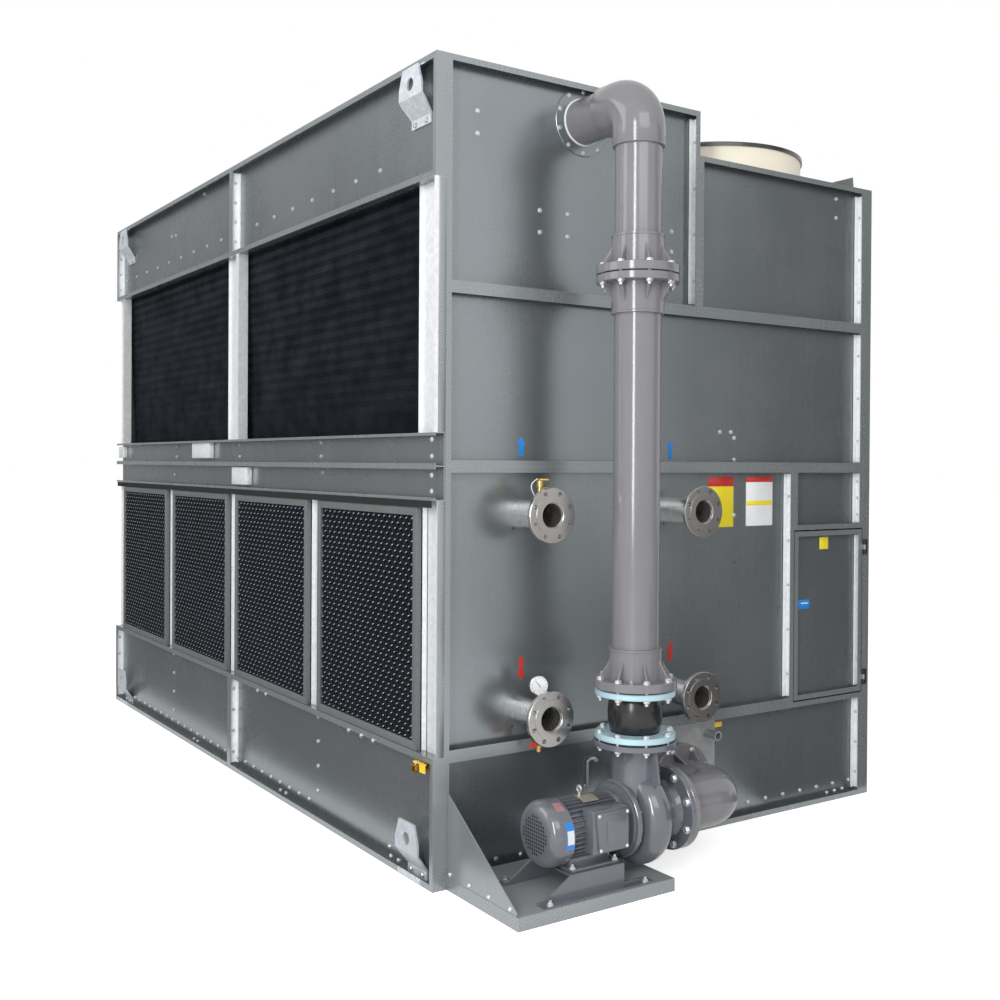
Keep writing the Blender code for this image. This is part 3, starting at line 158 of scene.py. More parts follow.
class Paint:
    """A material whose nodes are added by expressions."""

    def __init__(self, name):
        self.material = bpy.data.materials.new(name)
        self.material.use_nodes = True
        self.tree = self.material.node_tree
        self.shader = self.tree.nodes["Principled BSDF"]
        self.where = self.node("ShaderNodeTexCoord", out="Object")

    def node(self, kind, settings=None, inputs=None, out=0):
        made = self.tree.nodes.new(kind)
        for key, value in (settings or {}).items():
            setattr(made, key, value)
        for key, value in (inputs or {}).items():
            self.put(made.inputs[key], value)
        return Value(self, made.outputs[out])

    def put(self, socket, value):
        if isinstance(value, Value):
            self.tree.links.new(value.socket, socket)
        elif hasattr(value, "__len__") and len(value) == 3 and len(socket.default_value) == 4:
            socket.default_value = (*value, 1.0)
        else:
            socket.default_value = value

    def axis(self, which, of=None):
        return self.node("ShaderNodeSeparateXYZ", {}, {0: of or self.where}, out="XYZ".index(which))

    def noise(self, scale, detail, roughness, stretch=(1, 1, 1)):
        spot = self.node("ShaderNodeMapping", {}, {"Vector": self.where, "Scale": stretch})
        look = {"Vector": spot, "Scale": scale, "Detail": detail, "Roughness": roughness}
        return self.node("ShaderNodeTexNoise", {}, look)

    def crystals(self, scale):
        """A tone of its own for each cell, like the spangle of zinc."""
        look = {"Vector": self.where, "Scale": scale}
        return self.axis("X", self.node("ShaderNodeTexVoronoi", {"feature": "F1"}, look, out="Color"))

    def ramp(self, value, low, high):
        ends = {"Value": value, "From Min": low, "From Max": high}
        return self.node("ShaderNodeMapRange", {"clamp": True}, ends, out="Result")

    def blend(self, mask, first, second):
        return self.node("ShaderNodeMix", {"data_type": "RGBA"}, {0: mask, 6: first, 7: second}, out=2)

    def edge(self, width):
        """Light at corners and edges: how far a rounded normal differs from the flat one."""
        bent = self.node("ShaderNodeBevel", {"samples": 4}, {"Radius": width})
        flat = self.node("ShaderNodeNewGeometry", out="Normal")
        dot = {"operation": "DOT_PRODUCT"}
        same = self.node("ShaderNodeVectorMath", dot, {0: bent, 1: flat}, out="Value")
        return self.ramp(1 - same, 0.02, 0.30)

    def bump(self, height, strength, distance):
        look = {"Height": height, "Strength": strength, "Distance": distance}
        return self.node("ShaderNodeBump", {}, look, out="Normal")

    def finish(self, colour, roughness, metallic, normal=None, **plain):
        changing = {"Base Color": colour, "Roughness": roughness, "Metallic": metallic, "Normal": normal}
        for name, value in changing.items():
            if value is not None:
                self.put(self.shader.inputs[name], value)
        for name, value in plain.items():
            self.shader.inputs[name.replace("_", " ")].default_value = value
        return self.material


def tinted(tint, factor, plus=0.0):
    """A colour made darker or paler as a whole."""
    return tuple(min(1.0, c * factor + plus) for c in tint)


print("shader helpers ready")

# %% [markdown]
# The casing is steel sheet with a grey stoved paint over zinc. Its folded lips are painted a little paler
# than the flat webs behind them, and its sharp folds are painted bright: both are painted highlight, where
# the edges catch the light. Rain has left faint upright streaks. All of it is made from the place of a point
# on the casing, so one paint serves every panel and the streaks run on across the seams.

# %% Painted steel of the casing
lip_front, lip_side = 0.008, 0.040
lug_middles = (0.185, case_back - 0.185)
lug_half = 0.0915
lug_heights = ((0.003, 0.234), (2.982, 3.2165))


def box_mask(paint, low, high):
    """1 inside a box given from the casing's corner, 0 outside."""
    a, b = place(*low), place(*high)
    mask = None
    for k in range(3):
        inside = (paint.axis("XYZ"[k]) > a[k]) * (paint.axis("XYZ"[k]) < b[k])
        mask = inside if mask is None else mask * inside
    return mask


def lug_mask(paint):
    mask = None
    for middle in lug_middles:
        for low_z, high_z in lug_heights:
            low = (-0.075, middle - lug_half, low_z)
            one = box_mask(paint, low, (-0.0045, middle + lug_half, high_z))
            mask = one if mask is None else mask.most(one)
    return mask


def casing_paint():
    paint = Paint("slate_painted_steel")
    x, y = paint.axis("X"), paint.axis("Y")
    ends = (y < casing.y + lip_front).most(y > casing.y + case_back - lip_front)
    sides = (x < casing.x - lip_side).most(x > casing.x + case_right + lip_side)
    lip = ends.most(sides)
    cloud = paint.noise(1.1, 4.0, 0.55)
    streak = paint.noise(7.0, 3.0, 0.6, stretch=(1.0, 1.0, 0.045))
    grain = paint.noise(260.0, 2.0, 0.5)
    peel = paint.noise(95.0, 2.0, 0.5)
    web = paint.blend(paint.ramp(cloud, 0.30, 0.72), (0.262, 0.290, 0.305), (0.308, 0.334, 0.346))
    web = paint.blend(paint.ramp(streak, 0.52, 0.80) * 0.13, web, (0.350, 0.370, 0.375))
    # Paler lips: painted highlight, where the folded edges catch the light.
    pale = paint.blend(lip * 0.30, web, (0.360, 0.385, 0.385))
    lug = lug_mask(paint)
    zinc_tone = paint.blend(paint.crystals(60.0), (0.480, 0.520, 0.560), (0.600, 0.640, 0.680))
    pale = paint.blend(lug, pale, zinc_tone)
    # Bright folds: painted highlight along every sharp edge.
    edge_lit = paint.blend(paint.edge(0.0020) * 0.75, pale, (0.640, 0.655, 0.655))
    dust = paint.ramp(paint.axis("Z"), 0.22, 0.0) * paint.ramp(cloud, 0.35, 0.75) * 0.25
    dusty = paint.blend(dust, edge_lit, (0.260, 0.250, 0.232))
    rough = 0.21 + cloud * 0.09 + (streak - 0.5) * 0.03 + grain * 0.03 + lug * 0.15
    metal = 0.80 - (lip * 0.20).most(lug * 0.55)
    return paint.finish(dusty, rough.clip(), metal, paint.bump(grain * 0.35 + peel, 0.025, 0.0005))


slate = casing_paint()
print("casing paint has", len(slate.node_tree.nodes), "nodes")

# %% [markdown]
# Posts, corner strips and bolts are bare zinc-coated steel. Zinc freezes on sheet in crystals, called
# spangle, which a Voronoi pattern gives at the right size; each crystal takes its own tone and sheen.

# %% Galvanised steel, stainless steel and cast or turned metals


def zinc(name, tone, spangle, metal, clouding):
    paint = Paint(name)
    crystal = paint.crystals(spangle)
    cloud = paint.noise(5.0, 4.0, 0.6)
    shade = tone * (0.88 + crystal * 0.10 + cloud * clouding)
    colour = paint.node("ShaderNodeCombineColor", {}, {0: shade, 1: shade * 1.015, 2: shade * 1.025})
    scuffed = paint.blend(paint.ramp(cloud, 0.60, 0.80) * clouding, colour, (0.42, 0.42, 0.41))
    rough = 0.28 + crystal * 0.12 + cloud * 0.10
    return paint.finish(scuffed, rough.clip(), metal, paint.bump(crystal + cloud * 0.5, 0.05, 0.0005))


def turned_steel(name, tint, low, high, ridges=0.0):
    paint = Paint(name)
    cloud = paint.noise(14.0, 5.0, 0.6)
    lines = paint.noise(240.0, 2.0, 0.5, stretch=(0.08, 1.0, 1.0))
    stain = paint.ramp(paint.noise(6.0, 4.0, 0.65), 0.48, 0.78)
    brown = tuple(c * k for c, k in zip(tint, (0.72, 0.64, 0.58)))
    colour = paint.blend(cloud, tinted(tint, 0.86), tint)
    colour = paint.blend(stain * 0.30, colour, brown)
    # Paler rims: painted highlight along every sharp edge.
    colour = paint.blend(paint.edge(0.0020) * 0.7, colour, tinted(tint, 1.4))
    rough = low + (high - low) * (cloud * 0.6 + lines * 0.4)
    return paint.finish(colour, rough, 0.95, paint.bump(lines + cloud * ridges, 0.12, 0.0004))


galvanised = zinc("galvanised_sheet", 0.80, 60.0, 0.35, 0.08)
# Near-white, almost matt zinc for the flange strips: partly the zinc's own paleness, partly painted
# highlight.
strip_zinc_highlight = zinc("strip_zinc_highlight", 0.95, 60.0, 0.05, 0.04)
plate_steel = zinc("plate_steel", 0.40, 60.0, 0.60, 0.10)
bolt_zinc = zinc("bolt_zinc", 0.62, 160.0, 0.80, 0.14)
stainless = turned_steel("stainless_pipe", (0.74, 0.72, 0.70), 0.18, 0.34)
flange_steel = turned_steel("stainless_flange", (0.46, 0.445, 0.43), 0.16, 0.30, 0.3)
brass_finish = turned_steel("valve_brass", (0.72, 0.50, 0.20), 0.20, 0.38)
print("metals ready")

# %% [markdown]
# The pipework is grey rigid plastic with a strong gloss, a little paler where hands and slings have
# scuffed it. The pump and its motor wear a thick dark enamel that pools in corners, so its bump is slow
# and wavy. Rubber, louvres and fill are near-black plastics that differ only in sheen and grain.

# %% Plastics, enamel and rubber


def glossy_plastic(name, tint, low, high, scuff=0.25, grain_scale=60.0):
    paint = Paint(name)
    cloud = paint.noise(3.0, 4.0, 0.6)
    streak = paint.noise(16.0, 4.0, 0.65, stretch=(1, 1, 0.12))
    grain = paint.noise(grain_scale, 3.0, 0.5)
    colour = paint.blend(cloud, tinted(tint, 0.90), tinted(tint, 1.08))
    colour = paint.blend(paint.ramp(streak, 0.55, 0.80) * scuff, colour, tinted(tint, 1.25, 0.05))
    # Paler rims: painted highlight along every sharp edge.
    colour = paint.blend(paint.edge(0.0018) * 0.35, colour, tinted(tint, 1.5, 0.06))
    rough = low + (high - low) * (streak * 0.5 + grain * 0.5)
    return paint.finish(colour, rough, 0.0, paint.bump(grain * 0.4 + cloud, 0.08, 0.0008))


def enamel(name, tint, low, high):
    paint = Paint(name)
    cloud = paint.noise(7.0, 4.0, 0.6)
    pool = paint.noise(34.0, 3.0, 0.5)
    dust = paint.ramp(paint.noise(22.0, 5.0, 0.7), 0.52, 0.80)
    colour = paint.blend(cloud, tinted(tint, 0.85), tinted(tint, 1.15))
    colour = paint.blend(dust * 0.10, colour, (0.30, 0.29, 0.28))
    # Paler rims: painted highlight along every sharp edge.
    colour = paint.blend(paint.edge(0.0016) * 0.40, colour, (0.34, 0.34, 0.36))
    rough = low + (high - low) * (pool * 0.5 + dust * 0.5)
    return paint.finish(colour, rough, 0.10, paint.bump(pool, 0.16, 0.0010),
                        Coat_Weight=0.35, Coat_Roughness=0.12)


pipe_plastic = glossy_plastic("pipe_plastic", (0.195, 0.190, 0.204), 0.08, 0.20)
cream_shell = glossy_plastic("cream_shell", (0.860, 0.800, 0.660), 0.30, 0.46, 0.10, 120.0)
black_plastic = glossy_plastic("black_plastic", (0.020, 0.022, 0.027), 0.30, 0.50, 0.15, 140.0)
fill_plastic = glossy_plastic("fill_plastic", (0.016, 0.019, 0.028), 0.26, 0.44, 0.20, 200.0)
yellow_plastic = glossy_plastic("yellow_plastic", (0.860, 0.560, 0.030), 0.30, 0.48)
red_plastic = glossy_plastic("red_plastic", (0.760, 0.045, 0.020), 0.30, 0.48)
pump_enamel = enamel("pump_enamel", (0.135, 0.142, 0.165), 0.14, 0.28)
black_enamel = enamel("black_enamel", (0.022, 0.023, 0.025), 0.30, 0.46)
hinge_black = glossy_plastic("hinge_black", (0.010, 0.010, 0.011), 0.55, 0.75, 0.05)
blue_enamel = enamel("blue_enamel", (0.430, 0.620, 0.690), 0.38, 0.55)
rubber = glossy_plastic("joint_rubber", (0.016, 0.016, 0.017), 0.16, 0.32, 0.20, 90.0)
print("plastics and enamels ready")

# %% [markdown]
# Every part of the model now takes its finish. The parts keep their shapes; only their material changes.

# %% Give the finishes to the parts of the model


def each(name, count=4):
    """The names of parts that are numbered from 1."""
    return ["%s_%d" % (name, k) for k in range(1, count + 1)]


finish_of = {
    galvanised: ["basin_floor", "intake_frame", "coil_block"],
    flange_steel: ["coil_outlet_near", "coil_inlet_near", "coil_outlet_far", "coil_inlet_far"],
    pipe_plastic: ["riser_lower", "riser_upper", "suction_pipe"],
    pump_enamel: ["pump_motor", "pump_casing", "pump_base"],
    plate_steel: ["suction_plate"],
    rubber: ["expansion_joint"],
    blue_enamel: ["joint_flange_lower", "joint_flange_upper"],
    cream_shell: each("fan_ring"),
    black_enamel: each("fan_rotor") + each("fan_guard"),
    hinge_black: ["door_hinge_lower", "door_hinge_upper"],
    black_plastic: each("louvre") + ["drift_eliminator"],
    fill_plastic: ["fill_near", "fill_far"],
    brass_finish: ["basin_valve"],
    yellow_plastic: ["basin_valve_lever"],
    red_plastic: ["drain_lever"],
}
chosen = {name: finish for finish, names in finish_of.items() for name in names}
for name, part in nodes.items():
    finish = chosen.get(name, slate)
    if not part.data.materials:
        part.data.materials.append(finish)
    for slot in part.material_slots:
        slot.material = finish
print("painted slate:", sum(1 for name in nodes if name not in chosen), "parts")

# %% [markdown]
# New pieces are made with a few short helpers. A round part is a half profile spun once round an axis, the
# way a lathe works; a flat part is an outline pushed to its thickness. Each finished piece keeps its place
# in its mesh, rides on a body of the model, and hides the plain part it stands for.

# %% Helpers that shape, join and finish a piece
paints_of_slot = {
    "slate_steel": [slate],
    "galvanised": [galvanised, bolt_zinc, strip_zinc_highlight, plate_steel],
    "stainless": [stainless, flange_steel],
    "brass": [brass_finish],
    "grey_plastic": [pipe_plastic],
    "cream_shell": [cream_shell],
    "black_fill": [black_plastic, fill_plastic],
    "yellow_plastic": [yellow_plastic],
    "red_plastic": [red_plastic],
    "pump_paint": [pump_enamel],
    "black_coated": [black_enamel],
    "pale_blue": [blue_enamel],
    "black_rubber": [rubber],
}
slot_of = {paint: name for name, paints in paints_of_slot.items() for paint in paints}
made_pieces = []
across_front = ((1, 0, 0), (0, 0, 1), (0, -1, 0))
across_side = ((0, 1, 0), (0, 0, 1), (1, 0, 0))
straight_up = ((1, 0, 0), (0, 1, 0), (0, 0, 1))


def columns(origin, first, second, third):
    """A placing matrix from its three directions."""
    return Matrix.Translation(origin) @ Matrix((first, second, third)).transposed().to_4x4()


def aimed(origin, direction):
    """A placing matrix whose third axis points along direction, and whose second leans upwards."""
    third = Vector(direction).normalized()
    second = Vector((0, 0, 1))
    if abs(second.dot(third)) > 0.99:
        second = Vector((0, 1, 0))
    first = second.cross(third).normalized()
    return columns(origin, first, third.cross(first), third)


def put(shape, matrix):
    bmesh.ops.transform(shape, matrix=matrix, verts=shape.verts)
    return shape


def joined(shapes):
    """Several closed shapes in one mesh."""
    whole = bmesh.new()
    for shape in shapes:
        mesh = bpy.data.meshes.new("part_of_piece")
        shape.to_mesh(mesh)
        shape.free()
        whole.from_mesh(mesh)
        bpy.data.meshes.remove(mesh)
    return whole


def lathe(profile, matrix, steps=64, closed=False):
    """A profile of (radius, height) points spun round the third axis of matrix."""
    shape = bmesh.new()
    points = [shape.verts.new((radius, 0.0, height)) for radius, height in profile]
    lines = [shape.edges.new(pair) for pair in zip(points[:-1], points[1:])]
    if closed:
        lines.append(shape.edges.new((points[-1], points[0])))
    bmesh.ops.spin(shape, geom=points + lines, cent=(0, 0, 0), axis=(0, 0, 1), dvec=(0, 0, 0), angle=math.tau,
                   steps=steps, use_merge=True, use_duplicate=False)
    bmesh.ops.remove_doubles(shape, verts=shape.verts, dist=0.00002)
    bmesh.ops.recalc_face_normals(shape, faces=shape.faces)
    return put(shape, matrix)


def slab(outline, matrix, thickness, soft=0.0):
    """An outline of (u, v) points pushed along the third axis of matrix, with its edges softened."""
    shape = bmesh.new()
    face = shape.faces.new([shape.verts.new((u, v, 0.0)) for u, v in outline])
    grown = bmesh.ops.extrude_face_region(shape, geom=[face])["geom"]
    bmesh.ops.translate(shape, verts=points_in(grown), vec=(0, 0, thickness))
    bmesh.ops.recalc_face_normals(shape, faces=shape.faces)
    return put(soften(shape, soft), matrix)


def points_in(geometry):
    return [item for item in geometry if isinstance(item, bmesh.types.BMVert)]


def soften(shape, width):
    """Rounds every edge by a width."""
    if width > 0.0:
        bmesh.ops.bevel(shape, geom=list(shape.edges), offset=width, offset_type="OFFSET", segments=2,
                        profile=0.5, affect="EDGES", material=-1)
    return shape


def brick(low, high, soft=0.0):
    """A block between two corners, given from the casing's corner."""
    shape = bmesh.new()
    bmesh.ops.create_cube(shape, size=1.0)
    low, high = place(*low), place(*high)
    bmesh.ops.scale(shape, verts=shape.verts, vec=high - low)
    soften(shape, soft)
    bmesh.ops.translate(shape, verts=shape.verts, vec=(low + high) / 2)
    return shape


def linked(name, shape, paint=None):
    """Puts a shape into the scene as an object of its own."""
    mesh = bpy.data.meshes.new(name)
    shape.to_mesh(mesh)
    shape.free()
    if paint is not None:
        mesh.materials.append(paint)
    made = bpy.data.objects.new(name, mesh)
    bpy.context.scene.collection.objects.link(made)
    return made


def finished(name, shape, paint, replaces=(), body=tower, sharp=32.0):
    """Turns a shape into a piece of the tower with its paint, its body and the parts it stands for."""
    piece = linked(name, shape, paint)
    piece.data.shade_smooth()
    piece.data.set_sharp_from_angle(angle=math.radians(sharp))
    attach(piece, body)
    if replaces:
        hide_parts(*replaces)
    made_pieces.append((name, len(piece.data.polygons)))


print("shaping helpers ready")

# %% [markdown]
# One bolt is a washer, a hexagon head with a turned chamfer and, where the end shows, a stub of thread.
# It is only a few dozen faces, because the tower has hundreds. A list of places and directions becomes one
# joined mesh for each group, which keeps the number of objects small.

# %% A hexagon bolt, and groups of bolts


def plug(radius, low, high):
    """The profile of a solid disc or bar."""
    return [(0.0, low), (radius, low), (radius, high), (0.0, high)]


def bolt_shape(matrix, size, stub):
    washer_top, head_top = size * 0.18, size * 0.82
    head = [(0.0, washer_top), (size, washer_top), (size, size * 0.66), (size * 0.84, head_top),
            (0.0, head_top)]
    shapes = [lathe(plug(size * 1.25, 0.0, washer_top), matrix, 12), lathe(head, matrix, 6)]
    if stub > 0.0:
        shapes.append(lathe(plug(size * 0.55, size * 0.8, size * 0.8 + stub), matrix, 8))
    return shapes


def bolts(name, spots, size, body=tower, stub=0.0):
    """spots are (point from the casing's corner, direction) pairs."""
    shapes = []
    for point, direction in spots:
        shapes += bolt_shape(aimed(place(*point), direction), size, stub)
    finished(name, joined(shapes), bolt_zinc, body=body, sharp=25.0)


def facing(direction, points):
    """The spots of bolts that all point the same way."""
    return [(point, direction) for point in points]


def ring_spots(count, radius, centre, direction):
    """Bolt places on a circle, given from the casing's corner."""
    matrix = aimed(Vector(centre), direction)
    turns = [math.tau * (k + 0.5) / count for k in range(count)]
    circle = [Vector((radius * math.cos(a), radius * math.sin(a), 0.0)) for a in turns]
    return facing(direction, [tuple(matrix @ point) for point in circle])


leftward, frontward, backward, upward = (-1, 0, 0), (0, -1, 0), (0, 1, 0), (0, 0, 1)
print("bolt helper ready")

# %% [markdown]
# Each air inlet is a mitred plastic frame round a block of honeycomb. The honeycomb is made as on the
# real one: wavy ribbons laid one over another, every second ribbon shifted by half a cell, and bonded
# where their flats meet. A ribbon starts as one wavy line that is extruded inwards and slightly upwards,
# so that the channels drain outwards, and then it is given its wall.

# %% Honeycomb air inlets
cell_width, cell_height = 0.047, 0.023
channel_depth, channel_rise = 0.050, 0.012
ribbon_wall = 0.0009
ribbon_setback = 0.004
inlet_front = span("louvre_1")[0].x
inlet_bar, bar_depth = 0.033, 0.022
bead_half = (0.0022, 0.0095, 0.0026)
bead_lean = Matrix.Rotation(math.radians(-22.0), 4, "X")
inlet_grey = glossy_plastic("inlet_frame_grey", (0.125, 0.132, 0.138), 0.34, 0.52)
comb_black = glossy_plastic("honeycomb_black", (0.018, 0.021, 0.028), 0.20, 0.40, 0.12, 160.0)
# The beads' pale grey is partly pale dust and partly painted highlight, where each bonded corner catches the
# light.
comb_bead_highlight = glossy_plastic("honeycomb_bead_highlight", (0.360, 0.380, 0.410), 0.28, 0.46, 0.12, 160.0)
deep_black = glossy_plastic("deep_shadow_black", (0.004, 0.004, 0.005), 0.70, 0.90, 0.0)
slot_of.update({paint: "black_fill" for paint in (inlet_grey, comb_black, comb_bead_highlight, deep_black)})


def ribbon(shape, points, way):
    """An open line of points, pushed along way into a band one face wide."""
    corners = [shape.verts.new(point) for point in points]
    lines = [shape.edges.new(pair) for pair in zip(corners[:-1], corners[1:])]
    grown = bmesh.ops.extrude_edge_only(shape, edges=lines)["geom"]
    bmesh.ops.translate(shape, verts=points_in(grown), vec=way)


def walled(shape, thickness):
    """Gives the bands their wall, and moves them from the casing's corner to their place."""
    bmesh.ops.recalc_face_normals(shape, faces=shape.faces)
    bmesh.ops.solidify(shape, geom=list(shape.faces), thickness=thickness)
    bmesh.ops.translate(shape, verts=shape.verts, vec=(casing.x, casing.y, 0.0))
    return shape


def mitred_frame(low, high):
    """Four mitred bars: each is one slanted outline pushed to its depth and softened."""
    y0, y1, z0, z1 = low.y, high.y, low.z, high.z
    a0, a1, b0, b1 = y0 + inlet_bar, y1 - inlet_bar, z0 + inlet_bar, z1 - inlet_bar
    outer = [(y0, z0), (y1, z0), (y1, z1), (y0, z1)]
    inner = [(a0, b0), (a1, b0), (a1, b1), (a0, b1)]
    stand = columns(place(inlet_front, 0, 0), *across_side)
    bars = []
    for k in range(4):
        following = (k + 1) % 4
        outline = [outer[k], outer[following], inner[following], inner[k]]
        bars.append(slab(outline, stand, bar_depth, 0.0015))
    return joined(bars)


def honeycomb(low, high):
    """Ribbons from the bottom of the opening to its top."""
    y0, y1 = low.y + inlet_bar, high.y - inlet_bar
    z0, z1 = low.z + inlet_bar, high.z - inlet_bar
    flat = cell_width / 4
    comb = bmesh.new()
    for row in range(int((z1 - z0) / cell_height)):
        level_z = z0 + (row + 0.5) * cell_height
        points = []
        for column in range(int((y1 - y0) / flat) + 1):
            rise = cell_height / 2 if (column // 2 + row) % 2 == 0 else -cell_height / 2
            points.append((inlet_front + ribbon_setback, y0 + column * cell_width / 4, level_z + rise))
        ribbon(comb, points, (channel_depth, 0, channel_rise))
    return walled(comb, ribbon_wall)


def cell_lips(low, high):
    """The welded upper corner of each cell, a short slanting bead."""
    shapes = []
    y0, y1 = low.y + inlet_bar + 0.012, high.y - inlet_bar - 0.010
    z0, z1 = low.z + inlet_bar + 0.012, high.z - inlet_bar - 0.008
    for row in range(int((z1 - z0) / cell_height) + 1):
        for column in range(int((y1 - y0) / cell_width) + 1):
            y = y0 + (column + 0.5 * (row % 2)) * cell_width
            if y < y1:
                bead = bmesh.new()
                bmesh.ops.create_icosphere(bead, subdivisions=1, radius=1.0)
                bmesh.ops.scale(bead, verts=bead.verts, vec=bead_half)
                middle = place(inlet_front + ribbon_setback, y, z0 + row * cell_height)
                shapes.append(put(bead, Matrix.Translation(middle) @ bead_lean))
    return joined(shapes)


for k, louvre in enumerate(each("louvre"), 1):
    low, high = span(louvre)
    finished("inlet_cell_lips_%d" % k, cell_lips(low, high), comb_bead_highlight)
    finished("inlet_frame_%d" % k, mitred_frame(low, high), inlet_grey)
    finished("inlet_honeycomb_%d" % k, honeycomb(low, high), comb_black, [louvre], sharp=20.0)
    # A black sheet behind each honeycomb is painted shade for the dark inside of the casing.
    back = brick((high.x - 0.004, low.y + 0.002, low.z + 0.002), (high.x, high.y - 0.002, high.z - 0.002))
    finished("inlet_back_%d" % k, back, deep_black)
print("air inlets:", made_pieces[-1])

# %% [markdown]
# Behind the upper bays hangs the fill: many thin plastic sheets side by side, each pressed into a zigzag,
# so that water runs down a long crooked way. Only their edges show, as fine upright waves in front of a black
# block that is painted shade for the dark inside of the pack. The sheets are paler in patches at their front
# edges and painted darker deeper in, as painted shade. Each sheet is one zigzag line that is extruded
# inwards, and the front of the pack leans in towards the bottom.

# %% Zigzag fill behind the upper bays
sheet_pitch, sheet_wave = 0.0185, 0.0052
sheet_step, sheet_depth, sheet_drop = 0.026, 0.070, 0.018
sheet_wall = 0.0011
fill_lean = 0.060
front_gap = 0.001


def fill_sheets(low, high):
    pack = bmesh.new()
    steps = int((high.z - low.z) / sheet_step)
    for s in range(int((high.y - low.y - 2 * sheet_wave) / sheet_pitch)):
        middle = low.y + sheet_wave + 0.002 + s * sheet_pitch
        points = []
        for k in range(steps + 1):
            z = low.z + (high.z - low.z) * k / steps
            lean = fill_lean * (high.z - z) / (high.z - low.z)
            swing = sheet_wave if k % 2 else -sheet_wave
            points.append((low.x + lean + front_gap, middle + swing, z))
        ribbon(pack, points, (sheet_depth, 0, -sheet_drop))
    return walled(pack, sheet_wall)


def fill_edge_shading(low, high):
    """Fill plastic that is paler, in patches, within a centimetre of its leaning front, and darker deeper in
    as painted shade.
    """
    paint = Paint("fill_edge_shade")
    lean = (casing.x + low.x + front_gap) + (high.z - paint.axis("Z")) * (fill_lean / (high.z - low.z))
    deep = paint.ramp(paint.axis("X") - lean, 0.0005, 0.011)
    patch = paint.noise(9.0, 4.0, 0.6)
    tip = paint.blend(paint.ramp(patch, 0.35, 0.72), (0.012, 0.015, 0.021), (0.040, 0.046, 0.056))
    # Darker deeper in: painted shade inside the pack.
    colour = paint.blend(deep, tip, (0.008, 0.010, 0.015))
    grain = paint.noise(180.0, 2.0, 0.5)
    return paint.finish(colour, 0.30 + grain * 0.14, 0.0, paint.bump(grain, 0.08, 0.0005))


fill_shading = fill_edge_shading(*span("fill_near"))
slot_of[fill_shading] = "black_fill"
for name in ("fill_near", "fill_far"):
    low, high = span(name)
    finished("%s_sheets" % name, fill_sheets(low, high), fill_shading, [name], sharp=20.0)
    # Behind the sheets a black block is painted shade for the dark inside of the pack.
    outline = [(low.x + sheet_depth, high.z - 0.001), (low.x + fill_lean + sheet_depth, low.z + 0.001),
               (high.x - 0.001, low.z + 0.001), (high.x - 0.001, high.z - 0.001)]
    upright = Matrix.Translation(place(0, high.y, 0)) @ Matrix.Rotation(math.radians(90.0), 4, "X")
    finished("%s_backing" % name, slab(outline, upright, high.y - low.y), deep_black)
print("fill:", made_pieces[-2])

# %% [markdown]
# Pipes, studs and wires are all round bars, so a few more helpers are worth having: a bar between two
# points, a bent wire with a ball at every corner, a hoop, a quarter bend spun from a disc, a curved label
# and the three-cornered stiffeners of plastic flanges. Drilled holes are cut with one Boolean.

# %% Helpers for round bars, bends and holes
front_web = span("coil_outlet_near")[1].y
side_web = -0.0033
white_plastic = glossy_plastic("white_plastic", (0.72, 0.72, 0.70), 0.35, 0.50)
slot_of[white_plastic] = "cream_shell"


def at(x, y, z, direction):
    return aimed(place(x, y, z), direction)


def rod(start, end, radius, sides=12):
    """A round bar between two points, given from the casing's corner."""
    a, b = place(*start), place(*end)
    return lathe(plug(radius, 0.0, (b - a).length), aimed(a, b - a), sides)


def pipe_wall(inner, outer, low, high):
    """The profile of a tube."""
    return [(inner, low), (outer, low), (outer, high), (inner, high)]


def wire(points, radius):
    """Bars from point to point, with a ball at every bend."""
    shapes = [rod(a, b, radius, 8) for a, b in zip(points[:-1], points[1:])]
    for point in points[1:-1]:
        ball = bmesh.new()
        bmesh.ops.create_icosphere(ball, subdivisions=2, radius=radius)
        shapes.append(put(ball, Matrix.Translation(place(*point))))
    return shapes


def hoop(matrix, radius, thick, steps=56, sides=8):
    turns = [math.tau * k / sides for k in range(sides)]
    section = [(radius + thick * math.cos(a), thick * math.sin(a)) for a in turns]
    return lathe(section, matrix, steps, closed=True)


def quarter_bend(radius, reach, matrix):
    """A disc spun a quarter turn about a line beside it: up along the third axis, then along the first."""
    shape = bmesh.new()
    bmesh.ops.create_circle(shape, cap_ends=True, radius=radius, segments=56)
    bmesh.ops.spin(shape, geom=list(shape.faces), cent=(reach, 0, 0), axis=(0, 1, 0), dvec=(0, 0, 0),
                   angle=math.pi / 2, steps=18, use_duplicate=False)
    bmesh.ops.remove_doubles(shape, verts=shape.verts, dist=0.00002)
    put(shape, matrix)
    bmesh.ops.recalc_face_normals(shape, faces=shape.faces)
    return shape


def band(matrix, radius, low, high, start, end):
    """A label bent round the third axis, between two heights and two angles."""
    shape = bmesh.new()
    ends = [shape.verts.new((radius * math.cos(start), radius * math.sin(start), h)) for h in (low, high)]
    line = shape.edges.new(ends)
    bmesh.ops.spin(shape, geom=ends + [line], cent=(0, 0, 0), axis=(0, 0, 1), dvec=(0, 0, 0),
                   angle=end - start, steps=12, use_duplicate=False)
    bmesh.ops.recalc_face_normals(shape, faces=shape.faces)
    bmesh.ops.solidify(shape, geom=list(shape.faces), thickness=0.0007)
    return put(shape, matrix)


